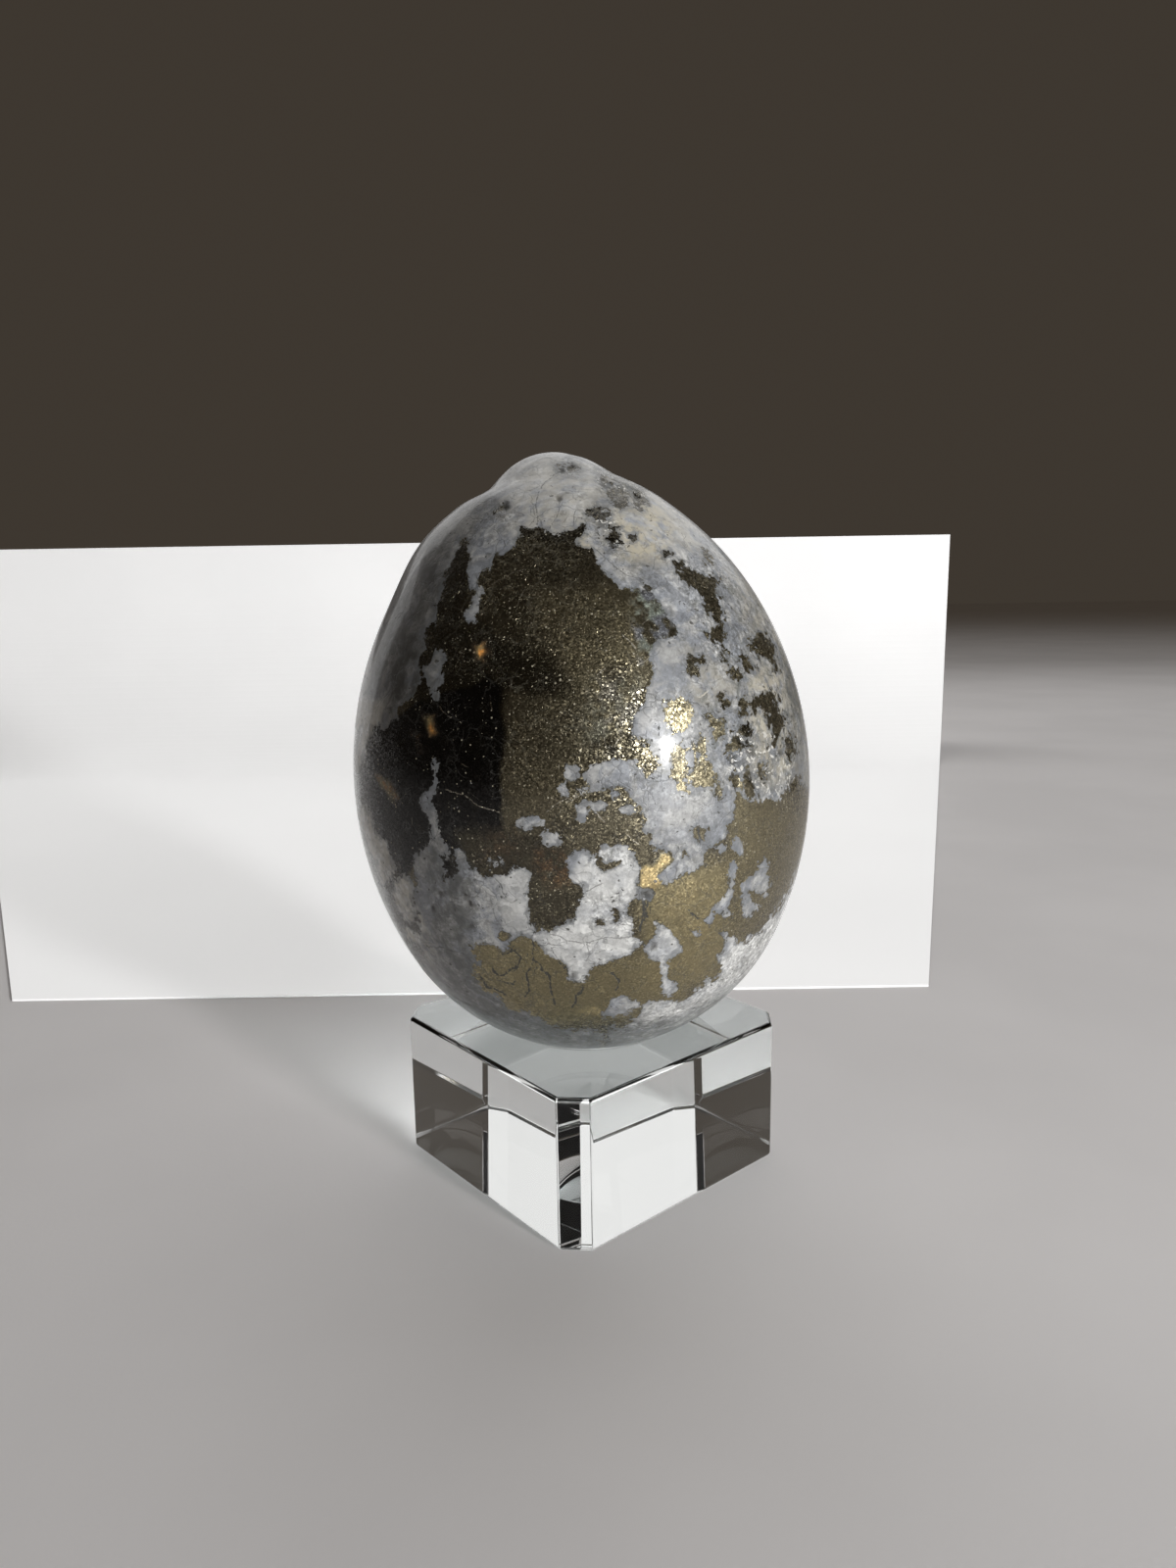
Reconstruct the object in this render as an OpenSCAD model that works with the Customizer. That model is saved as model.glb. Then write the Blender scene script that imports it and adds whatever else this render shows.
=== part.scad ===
// Polished stone egg of quartz grown through pyrite, resting in the round dish of a clear display block.
// Sizes are in millimetres. The origin is the centre of the block's underside, +Z is up,
// and the egg's display face looks to the front, -Y. Left and right are as seen from there.

/* [Egg] */
// Width of the egg at its widest
egg_w = 46.6; // [38:0.1:56]
// Height of the egg up to its round top, without the crown's knob
egg_h = 59.6; // [54:0.1:68]
// How much less than half the width the round foot's radius is
foot_draw = 1.5; // [0.8:0.1:4]
// How much less than half the width the round top's radius is
top_draw = 7; // [4:0.1:10]
// Lean of the egg to the left in its seat, in degrees
egg_lean = 3.5; // [0:0.5:8]

/* [Crown] */
// Radius of the knob that the hard quartz leaves on the crown
knob_r = 7; // [5:0.1:10]
// How far the knob stands over the round top
knob_rise = 1.3; // [0.5:0.1:2.5]
// How far the knob lies to the left of the egg's axis
knob_side = 0.8; // [0:0.1:2]

/* [Minerals] */
// How deep the mineral masses reach in from the skin at the egg's waist
mass_depth = 5; // [2:0.5:10]

/* [Stand] */
// Width of the clear block across two opposite faces
block_w = 30; // [26:0.5:44]
// Height of the clear block
block_h = 15.4; // [10:0.1:25]
// Leg of the cut on each upright corner
corner_cut = 2.3; // [1:0.1:4]
// Leg of the bevel round the top and bottom faces
edge_bevel = 0.3; // [0.1:0.1:1.2]
// Turn of the block under the egg, in degrees
block_turn = 40.4; // [0:0.1:45]

/* [Seat] */
// Radius of the dish's rim, which carries the egg
rim_r = 9.2; // [7:0.1:12]
// Radius of the ball that the dish is ground to
dish_r = 16; // [13:0.5:18]
// Clearance between the egg's foot and the rim
seat_gap = 0.15; // [0.1:0.05:0.3]

/* [Hidden] */
$fn = 96;
over = 4; // overrun of every cutting shape

QUARTZ = [0.72, 0.74, 0.77];
SHADED_QUARTZ = [0.42, 0.43, 0.47];
PYRITE = [0.24, 0.21, 0.13];
GOLD_PYRITE = [0.62, 0.50, 0.27];
CLEAR = [0.80, 0.88, 0.92, 0.45];

// The egg's side is one large arc that runs smoothly into the foot's ball and the top's ball
half_w = egg_w / 2;
foot_r = half_w - foot_draw;
top_r = half_w - top_draw;
ball_apart = egg_h - foot_r - top_r;
waist_term = foot_draw * ball_apart ^ 2 - top_draw * foot_draw * (top_draw - foot_draw);
waist_up = waist_term / (foot_draw * ball_apart
    + sqrt((foot_draw * ball_apart) ^ 2 + (top_draw - foot_draw) * waist_term));
side_r = (half_w ^ 2 - foot_r ^ 2 + waist_up ^ 2) / (2 * foot_draw);
waist_z = foot_r + waist_up;
foot_join_z = waist_z - side_r * waist_up / (side_r - foot_r);
top_join_z = waist_z + side_r * (ball_apart - waist_up) / (side_r - top_r);

// The egg's foot rests on the dish's rim, and it leans about the centre of its foot's ball
foot_ball_z = block_h + sqrt((foot_r + seat_gap) ^ 2 - rim_r ^ 2);
core_share = 1 - mass_depth / half_w;

// Outlines of the mineral masses as seen from the front: each point is a share of the egg's half
// width to the right of its axis, and a share of its height above its foot
crown_shares = [[-1.1, 0.93], [-0.38, 0.93], [-0.25, 0.925], [-0.14, 0.9], [-0.09, 0.885], [-0.03, 0.88],
    [0.02, 0.895], [0.06, 0.885], [0.1, 0.86], [0.17, 0.85], [0.26, 0.83], [0.38, 0.84], [0.5, 0.85],
    [0.68, 0.82], [1.1, 0.84], [1.1, 1.1], [-1.1, 1.1]];
left_streak_shares = [[-0.36, 0.94], [-0.36, 0.9], [-0.34, 0.86], [-0.33, 0.81], [-0.35, 0.78], [-0.34, 0.755],
    [-0.3, 0.77], [-0.28, 0.79], [-0.3, 0.81], [-0.26, 0.84], [-0.23, 0.86], [-0.15, 0.875], [-0.13, 0.91],
    [-0.25, 0.94]];
left_band_shares = [[-0.5, 0.94], [-0.4, 0.94], [-0.41, 0.86], [-0.45, 0.82], [-0.46, 0.76], [-0.53, 0.71],
    [-0.57, 0.66], [-0.65, 0.64], [-0.69, 0.68], [-0.66, 0.75], [-0.62, 0.82], [-0.56, 0.88]];
left_patch_shares = [[-0.48, 0.72], [-0.43, 0.725], [-0.42, 0.69], [-0.45, 0.66], [-0.46, 0.63], [-0.49, 0.65],
    [-0.51, 0.68]];
left_mass_shares = [[-0.53, 0.58], [-0.5, 0.58], [-0.51, 0.54], [-0.54, 0.51], [-0.52, 0.47], [-0.5, 0.42],
    [-0.45, 0.44], [-0.41, 0.41], [-0.32, 0.405], [-0.19, 0.42], [-0.18, 0.38], [-0.18, 0.33], [-0.27, 0.31],
    [-0.36, 0.29], [-0.46, 0.25], [-0.52, 0.27], [-0.62, 0.28], [-0.68, 0.33], [-0.68, 0.4], [-0.6, 0.45],
    [-0.56, 0.48], [-0.57, 0.52]];
belly_mass_shares = [[-0.06, 0.41], [0, 0.44], [0.07, 0.41], [0.14, 0.42], [0.22, 0.42], [0.22, 0.38],
    [0.16, 0.34], [0.2, 0.31], [0.18, 0.275], [0.07, 0.26], [0.01, 0.235], [-0.04, 0.24], [-0.1, 0.28],
    [-0.15, 0.31], [-0.05, 0.33], [0.02, 0.37]];
right_band_shares = [[0.08, 0.9], [0.12, 0.85], [0.2, 0.81], [0.29, 0.79], [0.33, 0.765], [0.42, 0.73],
    [0.33, 0.715], [0.29, 0.67], [0.31, 0.64], [0.24, 0.575], [0.08, 0.56], [0.06, 0.54], [0.23, 0.53],
    [0.26, 0.48], [0.26, 0.44], [0.35, 0.41], [0.42, 0.38], [0.51, 0.43], [0.59, 0.44], [0.61, 0.5],
    [0.72, 0.53], [0.9, 0.52], [1.1, 0.54], [1.1, 0.9]];
right_patch_shares = [[0.6, 0.34], [0.66, 0.355], [0.69, 0.37], [0.75, 0.33], [0.71, 0.3], [0.69, 0.28],
    [0.63, 0.28], [0.61, 0.31]];
cross_patch_shares = [[0.23, 0.3], [0.27, 0.3], [0.3, 0.315], [0.36, 0.285], [0.34, 0.265], [0.31, 0.25],
    [0.32, 0.19], [0.285, 0.19], [0.29, 0.25], [0.24, 0.265]];
foot_arc_shares = [[0.55, 0.26], [0.61, 0.24], [0.6, 0.18], [0.46, 0.12], [0.29, 0.09], [0.13, 0.09],
    [-0.03, 0.105], [0.03, 0.16], [0.14, 0.175], [0.29, 0.155], [0.39, 0.175], [0.49, 0.21]];
shoulder_island_shares = [[0.5, 0.8], [0.57, 0.81], [0.61, 0.76], [0.6, 0.71], [0.55, 0.73]];
bright_island_shares = [[0.34, 0.64], [0.43, 0.635], [0.45, 0.6], [0.38, 0.59]];
edge_island_shares = [[0.26, 0.565], [0.31, 0.57], [0.32, 0.545], [0.27, 0.535]];
waist_island_shares = [[0.36, 0.57], [0.45, 0.595], [0.52, 0.605], [0.53, 0.5], [0.41, 0.51], [0.35, 0.53]];
far_island_shares = [[0.75, 0.62], [0.84, 0.62], [0.83, 0.57], [0.76, 0.56]];
island_shares = [shoulder_island_shares, bright_island_shares, edge_island_shares, waist_island_shares,
    far_island_shares];
back_seam_shares = [[1.1, 0.8], [0.62, 0.82], [0.4, 0.76], [0.22, 0.7], [0.05, 0.58], [-0.12, 0.5],
    [-0.28, 0.38], [-0.44, 0.3], [-0.36, 0.2], [-0.18, 0.24], [0.02, 0.34], [0.2, 0.42], [0.36, 0.5],
    [0.62, 0.54], [1.1, 0.55]];
back_patch_shares = [[-1.1, 0.66], [-0.8, 0.63], [-0.62, 0.68], [-0.46, 0.64], [-0.5, 0.54], [-0.64, 0.46],
    [-0.86, 0.42], [-1.1, 0.4]];
back_foot_shares = [[0.2, 0.24], [0.34, 0.27], [0.5, 0.22], [0.56, 0.14], [0.38, 0.09], [0.18, 0.12]];

front_mass_shares = [left_streak_shares, left_band_shares, left_patch_shares, left_mass_shares,
    belly_mass_shares, right_band_shares, right_patch_shares, cross_patch_shares, foot_arc_shares];
back_mass_shares = [back_seam_shares, back_patch_shares, back_foot_shares];

// Small quartz flecks: share across, share up, and half their width and height in the same shares
fleck_shares = [[0, 0.55, 0.03, 0.012], [-0.03, 0.525, 0.024, 0.01], [-0.16, 0.49, 0.06, 0.013],
    [-0.08, 0.46, 0.055, 0.015], [-0.31, 0.43, 0.02, 0.012], [0.08, 0.5, 0.03, 0.012], [0.16, 0.5, 0.028, 0.01],
    [0.52, 0.32, 0.04, 0.011], [0.67, 0.43, 0.03, 0.014]];
fleck_corners = 7;
fleck_waist_share = 0.7; // how far the short corners of a fleck reach

module egg_section() {
    intersection() {
        square([half_w, egg_h]);
        union() {
            intersection() {
                translate([0, foot_r]) circle(r = foot_r);
                square([half_w, foot_join_z]);
            }
            intersection() {
                translate([half_w - side_r, waist_z]) circle(r = side_r);
                translate([0, foot_join_z]) square([half_w, top_join_z - foot_join_z]);
            }
            intersection() {
                translate([0, egg_h - top_r]) circle(r = top_r);
                translate([0, top_join_z]) square([half_w, egg_h - top_join_z]);
            }
        }
    }
}

module egg_form() {
    rotate_extrude() egg_section();
    translate([-knob_side, 0, egg_h + knob_rise - knob_r]) sphere(r = knob_r);
}

// The same egg drawn in towards its middle: the masses reach in from the skin as far as this
module egg_core() {
    translate([0, 0, egg_h / 2]) scale(core_share) translate([0, 0, -egg_h / 2])
        rotate_extrude() egg_section();
}

module seated() {
    translate([0, 0, foot_ball_z]) rotate([0, -egg_lean, 0]) translate([0, 0, -foot_r]) children();
}

module outline(shares) {
    polygon([for (s = shares) [s[0] * half_w, s[1] * egg_h]]);
}

function fleck_shares_of(f) = [for (k = [0 : fleck_corners - 1])
    let (turn = 360 * k / fleck_corners, reach = k % 2 == 0 ? 1 : fleck_waist_share)
        [f[0] + f[2] * reach * cos(turn), f[1] + f[3] * reach * sin(turn)]];

module all_flecks() {
    for (f = fleck_shares) outline(fleck_shares_of(f));
}

module all_islands() {
    for (shares = island_shares) outline(shares);
}

// Prisms over flat outlines that stand in the egg's upright middle plane: towards the front, and
// towards the back
module front_prism() {
    rotate([90, 0, 0]) linear_extrude(height = half_w + over) children();
}

module back_prism() {
    translate([0, half_w + over, 0]) front_prism() children();
}

// The crown is a whole cap, so its prism runs right through the egg
module crown_prism() {
    translate([0, half_w + over, 0]) rotate([90, 0, 0]) linear_extrude(height = egg_w + 2 * over)
        outline(crown_shares);
}

// What of the egg's rind lies inside a prism
module rind() {
    difference() {
        intersection() {
            egg_form();
            children();
        }
        egg_core();
    }
}

module front_mass(shares) {
    rind() front_prism() outline(shares);
}

module back_mass(shares) {
    rind() back_prism() outline(shares);
}

module mass_below_crown(shares) {
    rind() front_prism() difference() {
        outline(shares);
        outline(crown_shares);
    }
}

module quartz_crown() {
    color(QUARTZ) seated() intersection() {
        egg_form();
        crown_prism();
    }
}

module quartz_left_streak() {
    color(QUARTZ) seated() mass_below_crown(left_streak_shares);
}

module quartz_left_band() {
    color(SHADED_QUARTZ) seated() mass_below_crown(left_band_shares);
}

module quartz_left_patch() {
    color(SHADED_QUARTZ) seated() front_mass(left_patch_shares);
}

module quartz_left_mass() {
    color(QUARTZ) seated() front_mass(left_mass_shares);
}

module quartz_belly_mass() {
    color(QUARTZ) seated() front_mass(belly_mass_shares);
}

module quartz_right_band() {
    color(QUARTZ) seated() rind() front_prism() difference() {
        outline(right_band_shares);
        outline(crown_shares);
        all_islands();
    }
}

module quartz_right_patch() {
    color(QUARTZ) seated() front_mass(right_patch_shares);
}

module quartz_cross_patch() {
    color(QUARTZ) seated() front_mass(cross_patch_shares);
}

module quartz_foot_arc() {
    color(QUARTZ) seated() front_mass(foot_arc_shares);
}

module quartz_flecks() {
    color(QUARTZ) seated() rind() front_prism() all_flecks();
}

module pyrite_islands() {
    color(GOLD_PYRITE) seated() rind() front_prism() all_islands();
}

module quartz_back_seam() {
    color(QUARTZ) seated() rind() back_prism() difference() {
        outline(back_seam_shares);
        outline(crown_shares);
    }
}

module quartz_back_patch() {
    color(QUARTZ) seated() back_mass(back_patch_shares);
}

module quartz_back_foot() {
    color(QUARTZ) seated() back_mass(back_foot_shares);
}

// The pyrite that all the quartz is grown through
module pyrite_ground() {
    color(PYRITE) seated() difference() {
        egg_form();
        crown_prism();
        difference() {
            union() {
                front_prism() {
                    for (shares = front_mass_shares) outline(shares);
                    all_flecks();
                }
                back_prism() for (shares = back_mass_shares) outline(shares);
            }
            egg_core();
        }
    }
}

// A bar with bevelled edges that is far longer than the block, along Y
module bevelled_bar(half) {
    length = 2 * block_w;
    translate([0, length / 2, 0]) rotate([90, 0, 0]) linear_extrude(height = length)
        polygon([[edge_bevel - half, 0], [half - edge_bevel, 0], [half, edge_bevel],
            [half, block_h - edge_bevel], [half - edge_bevel, block_h], [edge_bevel - half, block_h],
            [-half, block_h - edge_bevel], [-half, edge_bevel]]);
}

// Clear block with cut corners and a round dish in its top
module clear_block() {
    face_half = block_w / 2;
    corner_half = (block_w - corner_cut) / sqrt(2);
    color(CLEAR) rotate([0, 0, block_turn]) difference() {
        intersection() {
            bevelled_bar(face_half);
            rotate([0, 0, 90]) bevelled_bar(face_half);
            rotate([0, 0, 45]) bevelled_bar(corner_half);
            rotate([0, 0, 135]) bevelled_bar(corner_half);
        }
        translate([0, 0, block_h + sqrt(dish_r ^ 2 - rim_r ^ 2)]) sphere(r = dish_r);
    }
}

clear_block();
pyrite_ground();
quartz_crown();
quartz_left_streak();
quartz_left_band();
quartz_left_patch();
quartz_left_mass();
quartz_belly_mass();
quartz_right_band();
quartz_right_patch();
quartz_cross_patch();
quartz_foot_arc();
quartz_flecks();
pyrite_islands();
quartz_back_seam();
quartz_back_patch();
quartz_back_foot();
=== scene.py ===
"""Dresses the stone egg: minerals of a polished quartz and pyrite egg on a clear display block."""

import math

import bpy
import numpy as np
from bpy.props import FloatProperty, FloatVectorProperty, IntProperty, PointerProperty
from mathutils import Matrix, Vector


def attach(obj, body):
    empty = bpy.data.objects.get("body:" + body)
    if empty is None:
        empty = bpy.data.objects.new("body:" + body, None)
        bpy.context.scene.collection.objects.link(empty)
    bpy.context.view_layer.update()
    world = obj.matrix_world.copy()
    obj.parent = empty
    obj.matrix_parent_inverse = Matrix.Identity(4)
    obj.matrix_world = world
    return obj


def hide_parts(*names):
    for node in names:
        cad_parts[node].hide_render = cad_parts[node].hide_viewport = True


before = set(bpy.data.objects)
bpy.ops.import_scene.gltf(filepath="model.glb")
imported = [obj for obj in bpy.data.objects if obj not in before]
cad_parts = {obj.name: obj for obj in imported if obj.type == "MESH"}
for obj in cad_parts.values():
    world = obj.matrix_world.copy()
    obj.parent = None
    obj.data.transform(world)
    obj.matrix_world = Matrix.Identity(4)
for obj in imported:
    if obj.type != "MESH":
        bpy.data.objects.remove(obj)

bl_info = {
    "name": "Stone egg on a clear block",
    "version": (1, 0, 0),
    "blender": (4, 5, 0),
    "location": "View3D > Sidebar > Stone egg",
    "description": "Builds a polished egg of quartz grown through pyrite, and its clear display block",
    "category": "Add Mesh",
}

MM = 0.001  # metres in a millimetre

# Sizes and colours that a user would change


def length(name, description, default):
    """A length property in metres, given in millimetres."""
    return FloatProperty(name=name, description=description, default=default * MM, unit="LENGTH", precision=5)


def angle(name, description, default):
    """An angle property, given in degrees."""
    return FloatProperty(name=name, description=description, default=math.radians(default), unit="ROTATION")


def power(name, description, default):
    """A lamp's power in watts."""
    return FloatProperty(name=name, description=description, default=default, unit="POWER")


def colour(name, description, default):
    """A colour property, in linear values."""
    return FloatVectorProperty(
        name=name, description=description, default=default, subtype="COLOR", size=3, min=0, max=1)


class EggShape(bpy.types.PropertyGroup):
    """Sizes of the egg."""

    width: length("Width", "Width of the egg at its widest", 46.6)
    height: length("Height", "Height of the egg up to its round top, without the knob", 59.6)
    foot_draw: length("Foot draw", "How much less than half the width the foot's radius is", 1.5)
    top_draw: length("Top draw", "How much less than half the width the top's radius is", 7.0)
    knob_radius: length("Knob radius", "Radius of the knob that the hard quartz leaves on the crown", 7.0)
    knob_rise: length("Knob rise", "How far the knob stands over the round top", 1.3)
    knob_side: length("Knob side", "How far the knob lies to the left of the egg's axis", 0.8)
    knob_blend: length("Knob blend", "Width over which the knob runs into the egg on the left", 0.5)
    lean: angle("Lean", "Lean to the left in the seat", 3.5)
    around: IntProperty(name="Points around", description="Mesh points round the girth", default=480, min=60)
    up: IntProperty(name="Points up", description="Mesh points from foot to crown", default=300, min=40)


class StandShape(bpy.types.PropertyGroup):
    """Sizes of the clear block and of its dish."""

    width: length("Width", "Width across two opposite faces", 30.0)
    height: length("Height", "Height of the block", 15.4)
    corner_cut: length("Corner cut", "Leg of the cut on each upright corner", 2.3)
    edge_bevel: length("Edge bevel", "Leg of the bevel round the top and bottom faces", 0.3)
    edge_round: length("Edge rounding", "Rounding that polishing leaves on every edge", 0.19)
    turn: angle("Turn", "Turn under the egg", 40.4)
    rim_radius: length("Rim radius", "Radius of the dish's rim, which carries the egg", 9.2)
    dish_radius: length("Dish ball radius", "Radius of the ball that the dish is ground to", 16.0)
    seat_gap: length("Seat gap", "Clearance between the egg's foot and the rim", 0.15)


class StoneColours(bpy.types.PropertyGroup):
    """Colours of the minerals and the glass."""

    # This white also serves as painted light on the belly, the foot and a strip along the left limb
    quartz_milk_and_light: colour("Milk quartz", "Whitest quartz", (0.74, 0.74, 0.72))
    quartz_pale: colour("Pale quartz", "Milky quartz", (0.46, 0.46, 0.45))
    quartz_blue: colour("Blue quartz", "Clearer quartz between the milky clouds", (0.285, 0.30, 0.325))
    quartz_warm: colour("Warm quartz", "Quartz stained beige", (0.47, 0.43, 0.335))
    # This dark grey is also painted shade on the unlit left side and round the foot
    quartz_ash_and_shade: colour("Ash quartz", "Quartz that is full of dust-fine pyrite", (0.066, 0.067, 0.063))
    # The black, and partly the olive, are a painted reflection of dark surroundings in the polished metal
    pyrite_black_reflection: colour("Black pyrite", "Darkest polished pyrite", (0.02, 0.019, 0.018))
    pyrite_olive: colour("Olive pyrite", "Dull olive pyrite", (0.17, 0.15, 0.10))
    pyrite_brown: colour("Brown pyrite", "Brown gold pyrite", (0.30, 0.257, 0.148))
    pyrite_gold: colour("Gold pyrite", "Brassy bright pyrite", (0.88, 0.68, 0.34))
    glass: colour("Glass", "Tint of the clear block", (0.965, 0.985, 0.98))


class StageLook(bpy.types.PropertyGroup):
    """Colours and lamps of the plain studio."""

    floor: colour("Floor", "Pale floor", (0.88, 0.86, 0.86))
    backdrop: colour("Backdrop", "Pale card behind the object", (0.92, 0.92, 0.92))
    surround: colour("Surround", "Light that comes from all round", (0.048, 0.039, 0.030))
    key_power: power("Key power", "Power of the soft key lamp", 3.3)
    top_power: power("Top power", "Power of the wide lamp overhead", 2.4)
    panel_power: power("Panel power", "Power of the pale panel high behind", 0.62)
    rim_power: power("Rim power", "Power of the strip behind the left", 0.085)


# The camera of the photograph

PHOTO = (1200.0, 1600.0)  # the frame's width and height in pixels
FOCAL = 1073.2  # focal length in pixels
CAMERA_AT = (0.22, -108.33, 61.06)  # millimetres
CAMERA_PITCH = math.radians(10.53)  # down
CAMERA_ROLL = math.radians(-0.92)


def camera_axes():
    """Right, up and forward of the camera: level axes pitched down, then rolled about the view."""
    forward = np.array([0.0, math.cos(CAMERA_PITCH), -math.sin(CAMERA_PITCH)])
    level = np.array([1.0, 0.0, 0.0])
    upright = np.cross(level, forward)
    c, s = math.cos(CAMERA_ROLL), math.sin(CAMERA_ROLL)
    return c * level + s * upright, c * upright - s * level, forward


def seen_at(points):
    """Pixels of the photograph's frame at which points, in millimetres, are seen: a pinhole view."""
    right, up, forward = camera_axes()
    away = points - np.array(CAMERA_AT)
    depth = away @ forward
    across = PHOTO[0] / 2 + FOCAL * (away @ right) / depth
    down = PHOTO[1] / 2 - FOCAL * (away @ up) / depth
    return np.stack([across, down], -1)


# Noise and distances

LATTICE_SHIFT = 97.3  # cells; keeps the corners of the lattice off the part's axes


def noise(points, wavelength, seed):
    """Value noise from -1 to 1: a random number for each point of a cubic lattice, found through a shuffled
    table, and a smooth curve between them."""
    draw = np.random.default_rng(seed)
    order, values = draw.permutation(256), draw.random(256) * 2 - 1
    scaled = points / wavelength + LATTICE_SHIFT
    cell = np.floor(scaled).astype(int)
    part = scaled - cell
    eased = part**3 * (part * (part * 6 - 15) + 10)
    total = 0.0
    for corner in range(8):
        step = np.array([corner & 1, corner >> 1 & 1, corner >> 2 & 1])
        i, j, k = ((cell + step) & 255).T
        weight = np.where(step, eased, 1 - eased).prod(-1)
        total = total + weight * values[order[(order[(order[i] + j) & 255] + k) & 255]]
    return total


def ragged(points, wavelength, seed, octaves=3):
    """Sum of noises, each at half the wavelength and half the height of the one before."""
    return sum(noise(points, wavelength / 2**n, seed + n) / 2**n for n in range(octaves))


def smooth_step(low, high, value):
    """0 below low, 1 above high, and a smooth curve between."""
    t = np.clip((value - low) / (high - low), 0, 1)
    return t * t * (3 - 2 * t)


def inside_outline(at, outline):
    """Signed distance to a closed outline, positive inside: the distance of the nearest edge, with its sign
    from how many edges lie to one side."""
    corners = np.array(outline, float)
    nearest = np.full(len(at), np.inf)
    within = np.zeros(len(at), bool)
    for start, end in zip(corners, np.roll(corners, -1, 0)):
        edge = end - start
        away = at - start
        along = np.clip(away @ edge / (edge @ edge), 0, 1)
        nearest = np.minimum(nearest, ((away - along[:, None] * edge) ** 2).sum(1))
        crosses = (start[1] > at[:, 1]) != (end[1] > at[:, 1])
        if edge[1]:
            within ^= crosses & (at[:, 0] < start[0] + edge[0] * (at[:, 1] - start[1]) / edge[1])
    return np.where(within, 1, -1) * np.sqrt(nearest)


def beside_line(at, line):
    """Signed distance to the side of an open line, its plain distance, and how far along it the nearest point
    is, 0 to 1."""
    corners = np.array(line, float)
    spans = np.linalg.norm(np.diff(corners, axis=0), axis=1)
    reached = np.concatenate([[0], np.cumsum(spans)]) / spans.sum()
    nearest, side, share = np.full(len(at), np.inf), np.zeros(len(at)), np.zeros(len(at))
    for n, (start, end) in enumerate(zip(corners, corners[1:])):
        edge = end - start
        away = at - start
        along = np.clip(away @ edge / (edge @ edge), 0, 1)
        far = np.sqrt(((away - along[:, None] * edge) ** 2).sum(1))
        closer = far < nearest
        nearest = np.where(closer, far, nearest)
        side = np.where(closer, (edge[0] * away[:, 1] - edge[1] * away[:, 0]) / spans[n], side)
        share = np.where(closer, reached[n] + along * (reached[n + 1] - reached[n]), share)
    return side, nearest, share


# Where the minerals lie
# Outlines on the seen side are given in pixels of the photograph's frame. Those on the back are
# shares: across of the egg's half width, and up of its height above the foot.

PIXELS_PER_MM = 11.0  # on the egg's near side
BACK_SHARE_MM = (23.3, 59.6)  # half the egg's width, and its height

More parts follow.
